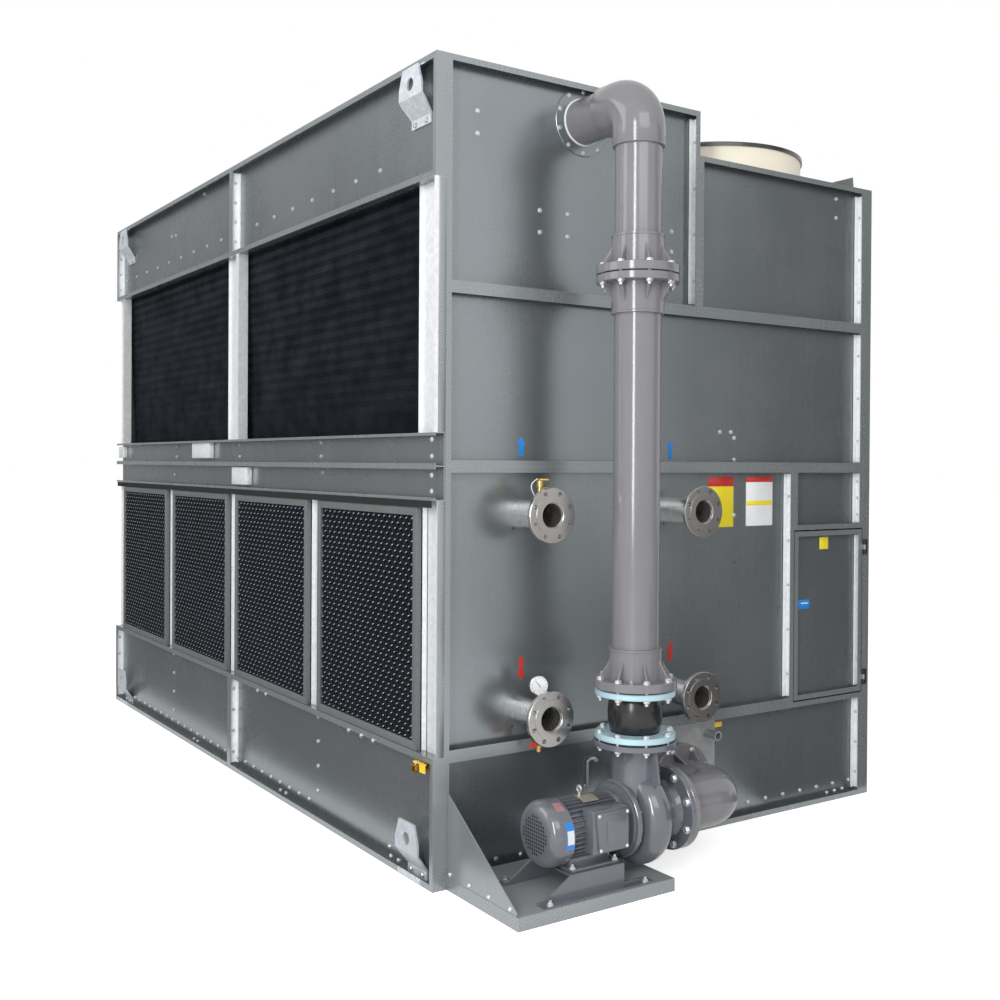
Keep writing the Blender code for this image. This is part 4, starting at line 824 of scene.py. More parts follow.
def stiffeners(hub, base, rise, matrix):
    """Eight three-cornered webs between a flange and its hub."""
    count, reach, thick = 8, 0.045, 0.007
    made = []
    toe = math.copysign(0.006, rise)
    outline = [(hub - 0.006, base), (hub + reach, base), (hub + reach, base + toe),
               (hub, base + rise), (hub - 0.006, base + rise)]
    for k in range(count):
        spin = Matrix.Rotation(math.tau * (k + 0.5) / count, 4, "Z")
        stand = columns((0, thick / 2, 0), *across_front)
        made.append(slab(outline, matrix @ spin @ stand, thick, 0.0012))
    return made


def disc_edge(radius, low, thick, chamfer=0.002):
    """The outer corner points of a flange, with both rims eased."""
    high, inner = low + thick, radius - chamfer
    return [(inner, low), (radius, low + chamfer), (radius, high - chamfer), (inner, high)]


def drilled(shape, cutters):
    """Cuts every cutter out of a shape with one exact Boolean."""
    pair = [linked("drilling", item) for item in (shape, joined(cutters))]
    cut = pair[0].modifiers.new("holes", "BOOLEAN")
    cut.operation, cut.solver, cut.object = "DIFFERENCE", "EXACT", pair[1]
    bpy.context.view_layer.update()
    result = bmesh.new()
    result.from_object(pair[0], bpy.context.evaluated_depsgraph_get())
    for item in pair:
        bpy.data.objects.remove(item, do_unlink=True)
    return result


print("helpers for round work ready, front web at y =", round(front_web, 4))

# %% [markdown]
# The riser carries spray water from the pump to the top of the tower. Rigid plastic pipe is glued into
# moulded sockets, so every joint shows as a step, and its flanges are braced by thin three-cornered webs.
# Each length is one half profile on the lathe; the elbow is a disc swept through a quarter turn.

# %% Riser with its flanges, elbow and wall disc
riser_x, pump_y, pump_z = 0.690, -0.320, 0.265
flange_r, socket_r, pipe_r = 0.165, 0.104, 0.0935
flange_t, hub_rise = 0.034, 0.115
bend_r = socket_r + 0.0005
riser_line = columns(place(riser_x, pump_y, 0), *straight_up)
low_z, mid_z = span("riser_lower")[0].z, span("riser_lower")[1].z


def hub_up(z):
    """The profile from a flange up its hub and over the socket's lip to the bare pipe."""
    lip_r, hub_top = socket_r + 0.0022, z + hub_rise
    return [(socket_r + 0.004, z), (socket_r, hub_top - 0.004), (lip_r, hub_top - 0.002),
            (lip_r, hub_top + 0.006), (pipe_r, hub_top + 0.007)]


lower_profile = [(0.0, low_z)] + disc_edge(flange_r, low_z, flange_t) + hub_up(low_z + flange_t)
lower_profile += [(r, 2 * mid_z - z) for r, z in reversed(hub_up(mid_z + flange_t))]
lower_profile += disc_edge(flange_r, mid_z - flange_t, flange_t - 0.004) + [(socket_r, mid_z), (0.0, mid_z)]
lower_pieces = [lathe(lower_profile, riser_line)]
lower_pieces += stiffeners(socket_r, low_z + flange_t, 0.078, riser_line)
lower_pieces += stiffeners(socket_r, mid_z - flange_t, -0.078, riser_line)
finished("riser_lower_pipe", joined(lower_pieces), pipe_plastic, ["riser_lower"], sharp=35.0)

up_z = mid_z + 0.0003
elbow_reach = 0.112
top_z = 3.088
corner_z = top_z - elbow_reach
upper_profile = [(0.0, up_z)] + disc_edge(flange_r, up_z, flange_t) + hub_up(up_z + flange_t)
upper_profile += [(pipe_r, top_z - 0.183), (socket_r - 0.001, top_z - 0.183), (bend_r, top_z - 0.180),
                  (bend_r, corner_z), (0.0, corner_z)]
wall_line = at(riser_x, 0, top_z, backward)
run_profile = [(0.0, pump_y + elbow_reach), (bend_r, pump_y + elbow_reach), (bend_r, pump_y + 0.180),
               (socket_r - 0.001, pump_y + 0.183), (pipe_r, pump_y + 0.183),
               (pipe_r, front_web), (0.0, front_web)]
elbow_matrix = columns(place(riser_x, pump_y, corner_z), (0, 1, 0), (-1, 0, 0), (0, 0, 1))
upper_pieces = [lathe(upper_profile, riser_line), lathe(run_profile, wall_line),
                quarter_bend(bend_r, elbow_reach, elbow_matrix)]
upper_pieces += stiffeners(socket_r, up_z + flange_t, 0.078, riser_line)
finished("riser_upper_pipe", joined(upper_pieces), pipe_plastic, ["riser_upper"], sharp=35.0)
wall_disc = lathe([(0.0, front_web - 0.004)] + disc_edge(0.141, front_web - 0.005, 0.0045, 0.001)
                  + [(0.0, front_web)], wall_line)
finished("riser_wall_disc", wall_disc, slate)
finished("riser_wall_seal", hoop(at(riser_x, front_web - 0.006, top_z, backward), pipe_r + 0.002, 0.0045),
         white_plastic)
bolts("riser_wall_bolts", ring_spots(10, 0.127, (riser_x, front_web - 0.005, top_z), frontward), 0.008)
print("riser from %.3f to %.3f m" % (low_z, top_z))

# %% [markdown]
# Two loose steel rings clamp the rubber bellows between the pump and the riser. The rubber bulges because
# it is moulded over hoops of cord, and long zinc studs run through ring and flange with a nut at each end.

# %% Rubber joint, clamping rings and studs
joint_low, joint_high = span("expansion_joint")[0].z, span("expansion_joint")[1].z
ring_t = 0.024
ring_low = span("joint_flange_lower")[0].z
ring_high = span("joint_flange_upper")[0].z
bulge_low, bulge_high = ring_low + ring_t, ring_high
bulge = [(0.092 + 0.017 * math.sin(math.pi * k / 14) ** 0.55, bulge_low + (bulge_high - bulge_low) * k / 14)
         for k in range(15)]
bellows = [(0.0, joint_low)] + disc_edge(0.135, joint_low, 0.0055, 0.001)
bellows += [(0.092, joint_low + 0.0056)] + bulge + [(0.092, joint_high - 0.0056)]
bellows += disc_edge(0.135, joint_high - 0.0055, 0.0055, 0.001) + [(0.0, joint_high)]
finished("bellows", lathe(bellows, riser_line), rubber, ["expansion_joint"], sharp=40.0)
for name, z in (("lower", ring_low), ("upper", ring_high)):
    profile = [(0.0965, z)] + disc_edge(0.159, z, ring_t, 0.003) + [(0.0965, z + ring_t)]
    finished("clamp_ring_" + name, lathe(profile, riser_line, closed=True), blue_enamel,
             ["joint_flange_" + name], sharp=35.0)

stud_ring, stud_r, nut_size = 0.143, 0.0075, 0.0135
neck_top = 0.567
stud_shapes, nut_spots = [], []
for low_end, high_end in ((neck_top - 0.022, ring_low + ring_t), (ring_high, low_z + flange_t),
                          (mid_z - flange_t, up_z + flange_t)):
    for (x, y, _), _ in ring_spots(8, stud_ring, (riser_x, pump_y, 0), upward):
        stud_shapes.append(rod((x, y, low_end - 0.020), (x, y, high_end + 0.012), stud_r))
        nut_spots += [((x, y, high_end), (0, 0, 1)), ((x, y, low_end), (0, 0, -1))]
finished("riser_studs", joined(stud_shapes), bolt_zinc)
bolts("riser_nuts", nut_spots, nut_size)
print("studs and nuts:", len(stud_shapes), len(nut_spots))

# %% [markdown]
# The spray pump is one casting: a scroll that grows round the wheel, a suction nozzle in line with the
# shaft and a neck that rises to the riser. Its skin is a smooth curve, so the scroll's section is a half
# ellipse with many points, and the necks flare out into their flanges like any casting.

# %% Pump casting and suction pipe
shaft = at(0, pump_y, pump_z, (1, 0, 0))
casing_start, cover_r, scroll_r, scroll_half = 0.5853, 0.150, 0.190, 0.060
scroll = [(0.126 + (scroll_r - 0.126) * math.sin(math.pi * k / 18) ** 0.72,
           riser_x - scroll_half * math.cos(math.pi * k / 18)) for k in range(19)]
suction_x = 0.872
cast = [(0.0, casing_start)] + disc_edge(cover_r, casing_start, 0.022, 0.003)
cast += [(0.130, casing_start + 0.026)] + scroll
cast += [(0.116, 0.762), (0.103, 0.786), (0.101, 0.812), (0.104, 0.830), (0.114, 0.846)]
cast += disc_edge(flange_r, suction_x - 0.022, 0.0217) + [(0.0, suction_x - 0.0003)]
neck = [(0.0, pump_z), (0.106, pump_z), (0.103, 0.380), (0.097, 0.430), (0.095, 0.480), (0.100, 0.522),
        (0.114, 0.543)]
neck += disc_edge(flange_r, neck_top - 0.022, 0.022) + [(0.0, neck_top)]
web_outline = [(riser_x + 0.02, 0.360), (riser_x + 0.135, 0.415),
               (riser_x + 0.100, 0.547), (riser_x + 0.02, 0.547)]
web_stand = columns(place(0, pump_y + 0.005, 0), *across_front)
side_stand = columns(place(riser_x - 0.005, 0, 0), *across_side)
side_web_outline = [(pump_y - 0.03, 0.360), (pump_y - 0.150, 0.420),
                    (pump_y - 0.128, 0.547), (pump_y - 0.03, 0.547)]
casting = [lathe(cast, shaft), lathe(neck, riser_line), slab(web_outline, web_stand, 0.010, 0.002),
           slab(side_web_outline, side_stand, 0.010, 0.002)]
finished("pump_casting", joined(casting), pump_enamel, ["pump_casing"], sharp=40.0)
bolts("suction_bolts", ring_spots(8, 0.142, (suction_x - 0.022, pump_y, pump_z), (-1, 0, 0)), 0.015)
bolts("cover_bolts", ring_spots(8, 0.138, (casing_start + 0.022, pump_y, pump_z), (1, 0, 0)), 0.007)

elbow_x = 1.175
turn_x = elbow_x - elbow_reach
body_r = 0.108
leg = [(0.0, suction_x)] + disc_edge(flange_r, suction_x, 0.024) + [(socket_r, suction_x + 0.024)]
leg += [(socket_r, suction_x + 0.050), (body_r, suction_x + 0.053), (body_r, turn_x), (0.0, turn_x)]
back_line = at(elbow_x, 0, pump_z, backward)
stub_y = -0.040
back = [(0.0, pump_y + elbow_reach), (body_r, pump_y + elbow_reach), (body_r, pump_y + 0.172),
        (socket_r, pump_y + 0.175), (socket_r, stub_y - 0.032)]
back += disc_edge(flange_r, stub_y - 0.030, 0.0297) + [(0.0, stub_y - 0.0003)]
suction = [lathe(leg, shaft), lathe(back, back_line)]
bend_matrix = columns(place(turn_x, pump_y, pump_z), (0, 1, 0), (0, 0, -1), (1, 0, 0))
suction.append(quarter_bend(body_r, elbow_reach, bend_matrix))
suction += stiffeners(socket_r, stub_y - 0.030, -0.070, back_line)
finished("suction_elbow", joined(suction), pipe_plastic, ["suction_pipe"], sharp=35.0)
bolts("stub_bolts", ring_spots(8, 0.143, (elbow_x, stub_y - 0.030, pump_z), (0, -1, 0)), 0.011)
print("pump casting spans", [round(v, 3) for v in (casing_start, suction_x)])

# %% [markdown]
# The motor breathes through a grille in its pressed cowl and sheds heat from thin fins along its body. The
# fins are one thin plate repeated round the shaft; the grille is a field of small black squares inside a
# circle, painted shade where its square holes are. The terminal box, eye bolt and plain plates sit where the
# maker of such a motor puts them.

# %% Motor
cowl = [(0.0, 0.2055), (0.080, 0.2055), (0.097, 0.208), (0.111, 0.215), (0.121, 0.228), (0.126, 0.246),
        (0.126, 0.300), (0.123, 0.300), (0.123, 0.290), (0.0, 0.290)]
body = plug(0.101, 0.288, 0.548)
bell = [(0.0, 0.541), (0.117, 0.541), (0.120, 0.547), (0.118, 0.560), (0.112, 0.572),
        (0.138, 0.575), (0.138, 0.5850), (0.0, 0.5850)]
fin_count, fin_low, fin_high = 36, 0.097, 0.1165
fins = []
for k in range(fin_count):
    spin = Matrix.Rotation(math.tau * k / fin_count, 4, "Z")
    stand = columns((0, 0.0014, 0), *across_front)
    outline = [(fin_low, 0.302), (fin_high, 0.302), (fin_high, 0.541), (fin_low, 0.541)]
    fins.append(slab(outline, shaft @ spin @ stand, 0.0028))
foot = [brick((0.300, -0.425, 0.1353), (0.525, -0.215, 0.1463), 0.002),
        brick((0.315, -0.391, 0.143), (0.507, -0.249, 0.190), 0.003)]
box = [brick((0.365, -0.470, 0.202), (0.530, -0.400, 0.363), 0.004)]
lid_outline = [(0.388, 0.208), (0.526, 0.208), (0.526, 0.357), (0.372, 0.357)]
lid_stand = columns(place(0, -0.468, 0), *across_front)
box.append(slab(lid_outline, lid_stand, 0.015, 0.004))
box.append(brick((0.420, -0.4860, 0.236), (0.512, -0.482, 0.330), 0.0015))
motor = [lathe(cowl, shaft), lathe(body, shaft), lathe(bell, shaft)] + fins + foot + box
finished("motor_body", joined(motor), pump_enamel, ["pump_motor"], sharp=35.0)

# Each grille hole is a thin black square on the cowl: painted shade, not a cut hole.
hole_pitch, hole_size, grille_r = 0.0138, 0.0084, 0.074
holes = []
reach = int(grille_r / hole_pitch)
for row in range(-reach, reach + 1):
    for column in range(-reach, reach + 1):
        y, z = column * hole_pitch, row * hole_pitch
        if math.hypot(y, z) < grille_r:
            h = hole_size / 2
            low = (0.2050, pump_y + y - h, pump_z + z - h)
            holes.append(brick(low, (0.2060, pump_y + y + h, pump_z + z + h)))
finished("cowl_grille", joined(holes), deep_black)
label_blue = enamel("label_blue", (0.010, 0.230, 0.700), 0.30, 0.45)
label_white = enamel("label_white", (0.760, 0.770, 0.780), 0.30, 0.45)
label_red = enamel("label_red", (0.560, 0.030, 0.025), 0.30, 0.45)
label_yellow = enamel("label_yellow", (0.860, 0.700, 0.020), 0.30, 0.45)
tan_plate = enamel("tan_plate", (0.300, 0.260, 0.200), 0.32, 0.48)
pink_label = enamel("pink_label", (0.420, 0.200, 0.210), 0.34, 0.50)
slot_of.update({label_blue: "pale_blue", label_white: "cream_shell", label_red: "red_plastic",
                pink_label: "red_plastic", label_yellow: "yellow_plastic", tan_plate: "galvanised"})
down, side = math.radians(150), math.radians(196)
finished("cowl_label_blue", band(shaft, 0.1262, 0.262, 0.298, down, side), label_blue)
finished("cowl_label_white", band(shaft, 0.1266, 0.266, 0.296, down + 0.24, side - 0.16), label_white)
pink_start, pink_end = math.radians(108), math.radians(128)
finished("cowl_label_pink", band(shaft, 0.1262, 0.252, 0.288, pink_start, pink_end), pink_label)
finished("motor_plate", band(shaft, 0.1172, 0.395, 0.470, math.radians(86), math.radians(116)), tan_plate)
screws = [(x, -0.483, z) for x, z in ((0.392, 0.218), (0.517, 0.218), (0.517, 0.347), (0.384, 0.347))]
bolts("terminal_screws", facing(frontward, screws), 0.0058)
eye = [rod((0.413, pump_y, 0.379), (0.413, pump_y, 0.398), 0.006),
       hoop(at(0.413, pump_y, 0.409, (1, 0, 0)), 0.011, 0.0042, 32)]
finished("eye_bolt", joined(eye), bolt_zinc)
base_spots = [((x, pump_y + s * 0.145, 0.0565), (0, 0, 1)) for x in (0.172, 0.622) for s in (-1, 1)]
base_spots += [((x, pump_y + s * 0.092, 0.1463), (0, 0, 1)) for x in (0.312, 0.514) for s in (-1, 1)]
bolts("pump_base_bolts", base_spots, 0.011, stub=0.010)
platform_top = enamel("platform_top_paint", (0.300, 0.318, 0.322), 0.36, 0.56)
slot_of[platform_top] = "slate_steel"
low, high = span("pump_platform")
coat = brick((low.x + 0.006, low.y + 0.002, 0.0500), (high.x - 0.002, -0.002, 0.0505))
finished("platform_top", coat, platform_top)
print("motor fins and grille holes:", fin_count, len(holes))

# %% [markdown]
# Four stainless pipes bring the warm fluid to the coil and take it away cool. Each ends in a weld-neck flange
# with a raised face and eight drilled holes, and passes the wall through a thin round collar.

# %% Coil connections
coil_places = {"outlet_near": (0.400, 0.645), "inlet_near": (0.400, 1.449), "outlet_far": (1.211, 0.645),
               "inlet_far": (1.211, 1.449)}
for name, (x, z) in coil_places.items():
    line = at(x, 0, z, (0, -1, 0))
    pipe = pipe_wall(0.050, 0.056, -front_web, 0.128)
    flange = [(0.050, 0.120), (0.057, 0.120), (0.060, 0.130), (0.068, 0.138)]
    flange += disc_edge(0.110, 0.138, 0.019, 0.0015)
    flange += [(0.079, 0.157), (0.0785, 0.160), (0.052, 0.160), (0.050, 0.158)]
    drills = [lathe(plug(0.0095, 0.130, 0.170),
                    line @ Matrix.Translation((0.090 * math.cos(a), 0.090 * math.sin(a), 0)), 16)
              for a in (math.tau * (k + 0.5) / 8 for k in range(8))]
    finished("coil_pipe_" + name, lathe(pipe, line, closed=True), stainless, ["coil_" + name])
    weld_neck = drilled(lathe(flange, line, closed=True), drills)
    finished("coil_flange_" + name, weld_neck, flange_steel, sharp=30.0)
    collar = pipe_wall(0.056, 0.096, -front_web, 0.0015 - front_web)
    finished("coil_collar_" + name, lathe(collar, line, closed=True), slate)
    # A black disc deep in the bore is painted shade for the dark inside of the pipe.
    end = lathe(plug(0.0502, -0.030, -0.026), line)
    sleeve = pipe_wall(0.0485, 0.0499, -0.024, 0.150)
    finished("coil_bore_" + name, lathe(sleeve, line, closed=True), stainless)
    finished("coil_end_" + name, end, deep_black)
    # A small black disc on the web is painted shade for a hole.
    spot = lathe(plug(0.0045, 0.0, 0.002), at(x - 0.052, front_web, z - 0.058, frontward), 12)
    finished("collar_hole_" + name, spot, deep_black)
drain_line = columns(place(0.400, -0.072, 0), *straight_up)
drain = [(0.0, 0.501), (0.010, 0.501), (0.011, 0.518), (0.015, 0.521), (0.015, 0.553), (0.011, 0.557),
         (0.010, 0.592), (0.0, 0.592)]
drain_shapes = [lathe(drain, drain_line, 24), rod((0.400, -0.072, 0.537), (0.400, -0.1005, 0.537), 0.005)]
finished("drain_valve", joined(drain_shapes), brass_finish)
print("coil connections:", len(coil_places))

# %% [markdown]
# Small fittings make the scale read: a pressure gauge on the lower near pipe, an air vent with its thin
# white loop on the upper one, a lifting loop beside the pump and a tag beside the overflow stub.

# %% Gauge, air vent and small fittings
gauge_x, gauge_y, gauge_z, dial_r = 0.386, -0.090, 0.770, 0.038
face_line = at(gauge_x, gauge_y, gauge_z, (-0.35, -0.94, 0))
case = lathe([(0.0, -0.012), (dial_r, -0.012), (dial_r, 0.006), (dial_r - 0.003, 0.008),
              (dial_r - 0.0035, 0.004), (0.0, 0.004)], face_line, 40)
gauge = [case, rod((gauge_x, gauge_y, 0.699), (gauge_x, gauge_y, 0.737), 0.006),
         rod((gauge_x, gauge_y, 0.712), (gauge_x, gauge_y, 0.724), 0.010, 6)]
finished("gauge_case", joined(gauge), stainless)
finished("gauge_dial", lathe(plug(0.0342, 0.0041, 0.0046), face_line, 40), label_white)
marks = []
for k in range(11):
    a = math.radians(-45 + 27 * k)
    mark = slab([(0.026, -0.0007), (0.0325, -0.0007), (0.0325, 0.0007), (0.026, 0.0007)],
                Matrix.Rotation(a, 4, "Z"), 0.0004)
    marks.append(put(mark, face_line @ Matrix.Translation((0, 0, 0.0046))))
needle = slab([(-0.008, -0.0016), (0.028, -0.0005), (0.028, 0.0005), (-0.008, 0.0016)],
              Matrix.Rotation(math.radians(128), 4, "Z"), 0.0006)
put(needle, face_line @ Matrix.Translation((0, 0, 0.0050)))
finished("gauge_marks", joined(marks + [needle]), deep_black)
vent_x, vent_y, vent_z = 0.385, -0.090, 1.503
vent = [rod((vent_x, vent_y, vent_z), (vent_x, vent_y, vent_z + 0.060), 0.009, 20),
        rod((vent_x, vent_y, vent_z + 0.016), (vent_x, vent_y, vent_z + 0.034), 0.015, 6),
        rod((vent_x, vent_y, vent_z + 0.060), (vent_x, vent_y, vent_z + 0.082), 0.013, 20),
        rod((vent_x - 0.004, vent_y, vent_z + 0.050), (vent_x + 0.042, vent_y, vent_z + 0.050), 0.007, 16)]
finished("air_vent", joined(vent), brass_finish)
loop_points = [(vent_x - 0.012 - 0.030 * math.sin(math.pi * k / 12), vent_y,
                vent_z + 0.005 + 0.085 * k / 12 + 0.012 * math.sin(math.pi * k / 12)) for k in range(13)]
finished("vent_loop", joined(wire(loop_points, 0.0022)), white_plastic)
tap = brick((vent_x - 0.004, vent_y - 0.012, vent_z + 0.084),
            (vent_x + 0.036, vent_y + 0.004, vent_z + 0.090), 0.002)
finished("vent_tap", tap, yellow_plastic)
handle_y = front_web - 0.010
handle = wire([(0.733, front_web, 0.284), (0.733, handle_y, 0.290), (0.733, handle_y, 0.392),
               (0.745, handle_y, 0.402), (0.770, handle_y, 0.402),
               (0.783, handle_y, 0.390), (0.783, front_web, 0.384)], 0.006)
finished("lifting_loop", joined(handle), bolt_zinc)
tag = brick((1.470, front_web - 0.003, 0.444), (1.522, front_web - 0.0004, 0.468), 0.0008)
finished("overflow_tag", tag, yellow_plastic)
print("gauge marks:", len(marks))

# %% [markdown]
# Each fan stands in a moulded ring with a rolled lip. Over it lies a guard of black wire hoops welded to
# straight spokes, the pattern every such fan has, and a black rim that clips it to the ring.

# %% Fan rings and wire guards
for k in range(1, 5):
    low, high = span("fan_ring_%d" % k)
    middle_x, middle_y = (low.x + high.x) / 2, (low.y + high.y) / 2
    line = columns(place(middle_x, middle_y, 0), *straight_up)
    r, base, top = (high.x - low.x) / 2 - 0.020, low.z, high.z
    profile = [(r - 0.004, base), (r + 0.019, base), (r + 0.020, base + 0.001), (r + 0.020, base + 0.004),
               (r + 0.004, base + 0.005), (r, base + 0.010), (r, top - 0.018), (r + 0.004, top - 0.008),
               (r + 0.006, top - 0.001), (r + 0.003, top), (r - 0.004, top - 0.006)]
    shell = lathe(profile, line, 96, closed=True)
    finished("fan_shell_%d" % k, shell, cream_shell, ["fan_ring_%d" % k], sharp=50.0)
    rim = [(r + 0.0005, top - 0.014), (r + 0.008, top - 0.014), (r + 0.008, top + 0.005),
           (r - 0.008, top + 0.005), (r - 0.008, top + 0.001), (r + 0.0005, top + 0.001)]
    guard_z = top + 0.0035
    shapes = [lathe(rim, line, 96, closed=True)]
    shapes += [hoop(line @ Matrix.Translation((0, 0, guard_z)), ring, 0.0022, 64, 6)
               for ring in (0.110 + 0.0315 * n for n in range(11))]
    for s in range(16):
        a = math.tau * s / 16
        ends = [(middle_x + away * math.cos(a), middle_y + away * math.sin(a), guard_z)
                for away in (0.105, r - 0.006)]
        shapes.append(rod(*ends, 0.0026, 6))
    cap = [(0.0, guard_z - 0.003), (0.112, guard_z - 0.003), (0.112, guard_z + 0.001), (0.0, guard_z + 0.002)]
    shapes.append(lathe(cap, line, 40))
    finished("wire_guard_%d" % k, joined(shapes), black_enamel, ["fan_guard_%d" % k], sharp=40.0)
    foot_spots = ring_spots(12, r + 0.012, (middle_x, middle_y, base + 0.004), upward)
    bolts("fan_ring_bolts_%d" % k, foot_spots, 0.006)
print("fan ring radius %.3f m" % r)

# %% [markdown]
# The flanges that panels are bolted through are bare zinc on their inner faces, with a bolt every hand's
# breadth. They show as bright strips: their near-white, almost matt zinc is partly the zinc's own paleness
# and partly painted highlight. A strip and its bolts are one short loop for each panel.

# %% Bright flange strips and their bolts
strip_t = 0.0012
strip_depth = front_web - 0.003
door_low, door_high = span("access_door")
door_edge = span("front_small_panel")[0].x
front_strips = [(step, seam_high + 0.036, 3.205, strip_depth, tower),
                (case_right, seam_high + 0.030, 3.005, strip_depth, tower),
                (case_right, seam_low + 0.028, seam_high - 0.028, strip_depth, tower),
                (case_right, 1.366, seam_low - 0.028, strip_depth, tower),
                (door_edge, basin_top + 0.028, seam_low - 0.030, strip_depth, tower),
                (2.442, door_low.z + 0.028, door_high.z - 0.028, 0.024, "door"),
                (case_right, 0.030, basin_top - 0.028, strip_depth, tower)]
for number, (edge, z0, z1, depth, body_name) in enumerate(front_strips, 1):
    face_x = edge - 0.0034
    leg = brick((face_x - 0.026, depth - 0.004, z0), (face_x - strip_t, depth, z1))
    strip = joined([brick((face_x - strip_t, 0.004, z0), (face_x, depth, z1)), leg])
    finished("front_strip_%d" % number, strip, strip_zinc_highlight, body=body_name)
    count = max(3, int((z1 - z0) / 0.190))
    heights = [z0 + (z1 - z0) * (n + 0.5) / count for n in range(count)]
    spots = facing(leftward, [(face_x - strip_t, depth * 0.74, z) for z in heights])
    bolts("front_strip_bolts_%d" % number, spots, 0.0062, body=body_name)
side_strips = [(bay, 0.030, basin_top - 0.028), (case_back, 0.030, basin_top - 0.028), (bay, 2.785, 3.205),
               (case_back, 2.785, 3.205)]
for number, (edge, z0, z1) in enumerate(side_strips, 1):
    face_y = edge - 0.0034
    leg = brick((-0.0044, face_y - 0.022, z0), (-0.0034, face_y - strip_t, z1))
    strip = joined([brick((-0.044, face_y - strip_t, z0), (-0.0034, face_y, z1)), leg])
    finished("side_strip_%d" % number, strip, strip_zinc_highlight)
    heights = [z0 + (z1 - z0) * (n + 0.5) / 4 for n in range(4)]
    spots = facing(frontward, [(-0.024, face_y - strip_t, z) for z in heights])
    bolts("side_strip_bolts_%d" % number, spots, 0.0075)
print("strips:", len(front_strips) + len(side_strips))

# %% [markdown]
# At the near corner a slate plate covers the front edge of the bare post. A thin black strip up the post is
# painted shade in its groove, and a black strip over the inlets is painted shade in the gap where they hang
# free of the rail above.

# %% Corner plate, post groove and the gap above the inlets
post_low, post_high = span("intake_frame")
rail_low, rail_high = span("intake_rails")
trim_low, trim_high = basin_top + 0.001, span("intake_top_near")[0].z - 0.001
trim = [brick((-0.035, -0.0014, low_z), (-0.0006, -0.0001, high_z), 0.0003)
        for low_z, high_z in ((trim_low, rail_low.z), (rail_high.z, trim_high))]
finished("corner_angle", joined(trim), slate)
# Both black strips are painted shade: in the post's groove and in the gap over the inlets.
groove = brick((post_low.x - 0.0004, 0.047, trim_low), (post_low.x + 0.0004, 0.051, span("louvre_1")[1].z))
finished("post_groove", groove, deep_black)
gap_low, gap_high = span("louvre_1")[1].z + 0.0015, rail_low.z - 0.0005
gap = brick((post_low.x - 0.0008, 0.020, gap_low), (post_low.x - 0.0001, post_high.y - 0.030, gap_high))
finished("inlet_gap", gap, deep_black)
print("corner angle from %.3f to %.3f m, post face x %.4f" % (trim_low, trim_high, post_low.x))

# %% [markdown]
# The remaining bolts hold the braces and troughs inside the casing, so they come in rows and pairs on the
# flat webs. Rows with an even pitch are counted out; odd pairs are listed where the real ones sit.

# %% Bolts on the webs
row_pitch, row_z = 0.228, 2.890
side_spots = [((side_web, 0.540 + row_pitch * k, row_z), (-1, 0, 0)) for k in range(7)]
side_spots += [((side_web, 2.431 + row_pitch * k, row_z), (-1, 0, 0)) for k in range(9)]
side_spots += [((side_web, 1.226 + 0.1155 * k, 0.057), (-1, 0, 0)) for k in range(9)]
side_spots += [((side_web, 2.333 + 0.1137 * k, 0.057), (-1, 0, 0)) for k in range(16)]
side_spots += [((side_web, y, 0.465 - 0.115 * k), (-1, 0, 0)) for y in (1.130, 3.220) for k in range(4)]
side_pairs = ((3.290, 3.044), (3.214, 3.039), (2.711, 3.200), (2.215, 3.004), (2.134, 2.992), (0.426, 0.055),
              (0.417, 0.016), (0.351, 0.017), (1.573, 0.016), (1.502, 0.018), (2.853, 0.015), (2.789, 0.014))
side_spots += [((side_web, y, z), (-1, 0, 0)) for y, z in side_pairs]
side_spots += [((-0.0485, y, 0.487), (-1, 0, 0)) for y in (0.494, 0.603, 0.722, 1.654, 1.761)]
side_spots += [((-0.0050, y, z), (-1, 0, 0)) for y in (1.107, 2.131, 3.176) for z in (1.745, 1.680)]
side_spots += [((-0.0050, y, z), (-1, 0, 0)) for y, z in ((3.215, 1.570), (1.088, 1.606))]
side_spots += [((-0.0490, 0.018, z), (-1, 0, 0)) for z in (1.744, 1.680, 1.606, 1.545)]
bolts("side_web_bolts", side_spots, 0.0085)

front_pairs = ((0.166, 3.049), (0.167, 2.960), (0.473, 2.694), (0.474, 2.604), (0.615, 2.695), (0.615, 2.601),
               (1.194, 2.689), (1.194, 2.599), (2.282, 2.976), (2.283, 2.882), (1.500, 1.803), (1.570, 1.804),
               (1.590, 1.777), (1.591, 1.675), (1.594, 1.419), (0.275, 0.059), (0.396, 0.057), (2.249, 0.025),
               (2.306, 0.027), (2.362, 0.029)) + tuple((1.697 + 0.1187 * k, 0.066) for k in range(7))
bolts("front_web_bolts", [((x, front_web, z), (0, -1, 0)) for x, z in front_pairs], 0.0085)
# Two small black discs are painted shade for holes in the web.
small_holes = [lathe(plug(0.004, 0.0, 0.0012), at(x, front_web, z, frontward), 12)
               for x, z in ((1.596, 1.200), (1.630, 0.997))]
finished("web_holes", joined(small_holes), deep_black)
lug_spots = facing(leftward, [(-0.0115, middle + s * 0.045, z)
                              for z in (0.022, 3.007) for middle in lug_middles for s in (-1, 1)])
bolts("lug_bolts", lug_spots, 0.010)
gusset_spots = [((0.017, y, 0.066), (-1, 0, 0)) for y in (-0.024, -0.164, -0.298, -0.438)]
bolts("gusset_bolts", gusset_spots, 0.008)
stubs = [brick(low, high, 0.002) for low, high in (((-0.034, 2.53, 1.672), (-0.006, 2.82, 1.765)),
                                                    ((-0.034, 1.96, 1.532), (-0.006, 2.18, 1.624)),
                                                    ((-0.034, 4.226, 1.675), (-0.006, 4.334, 1.750)))]
finished("rail_splices", joined(stubs), galvanised)
print("web bolts:", len(side_spots) + len(front_pairs) + len(lug_spots))

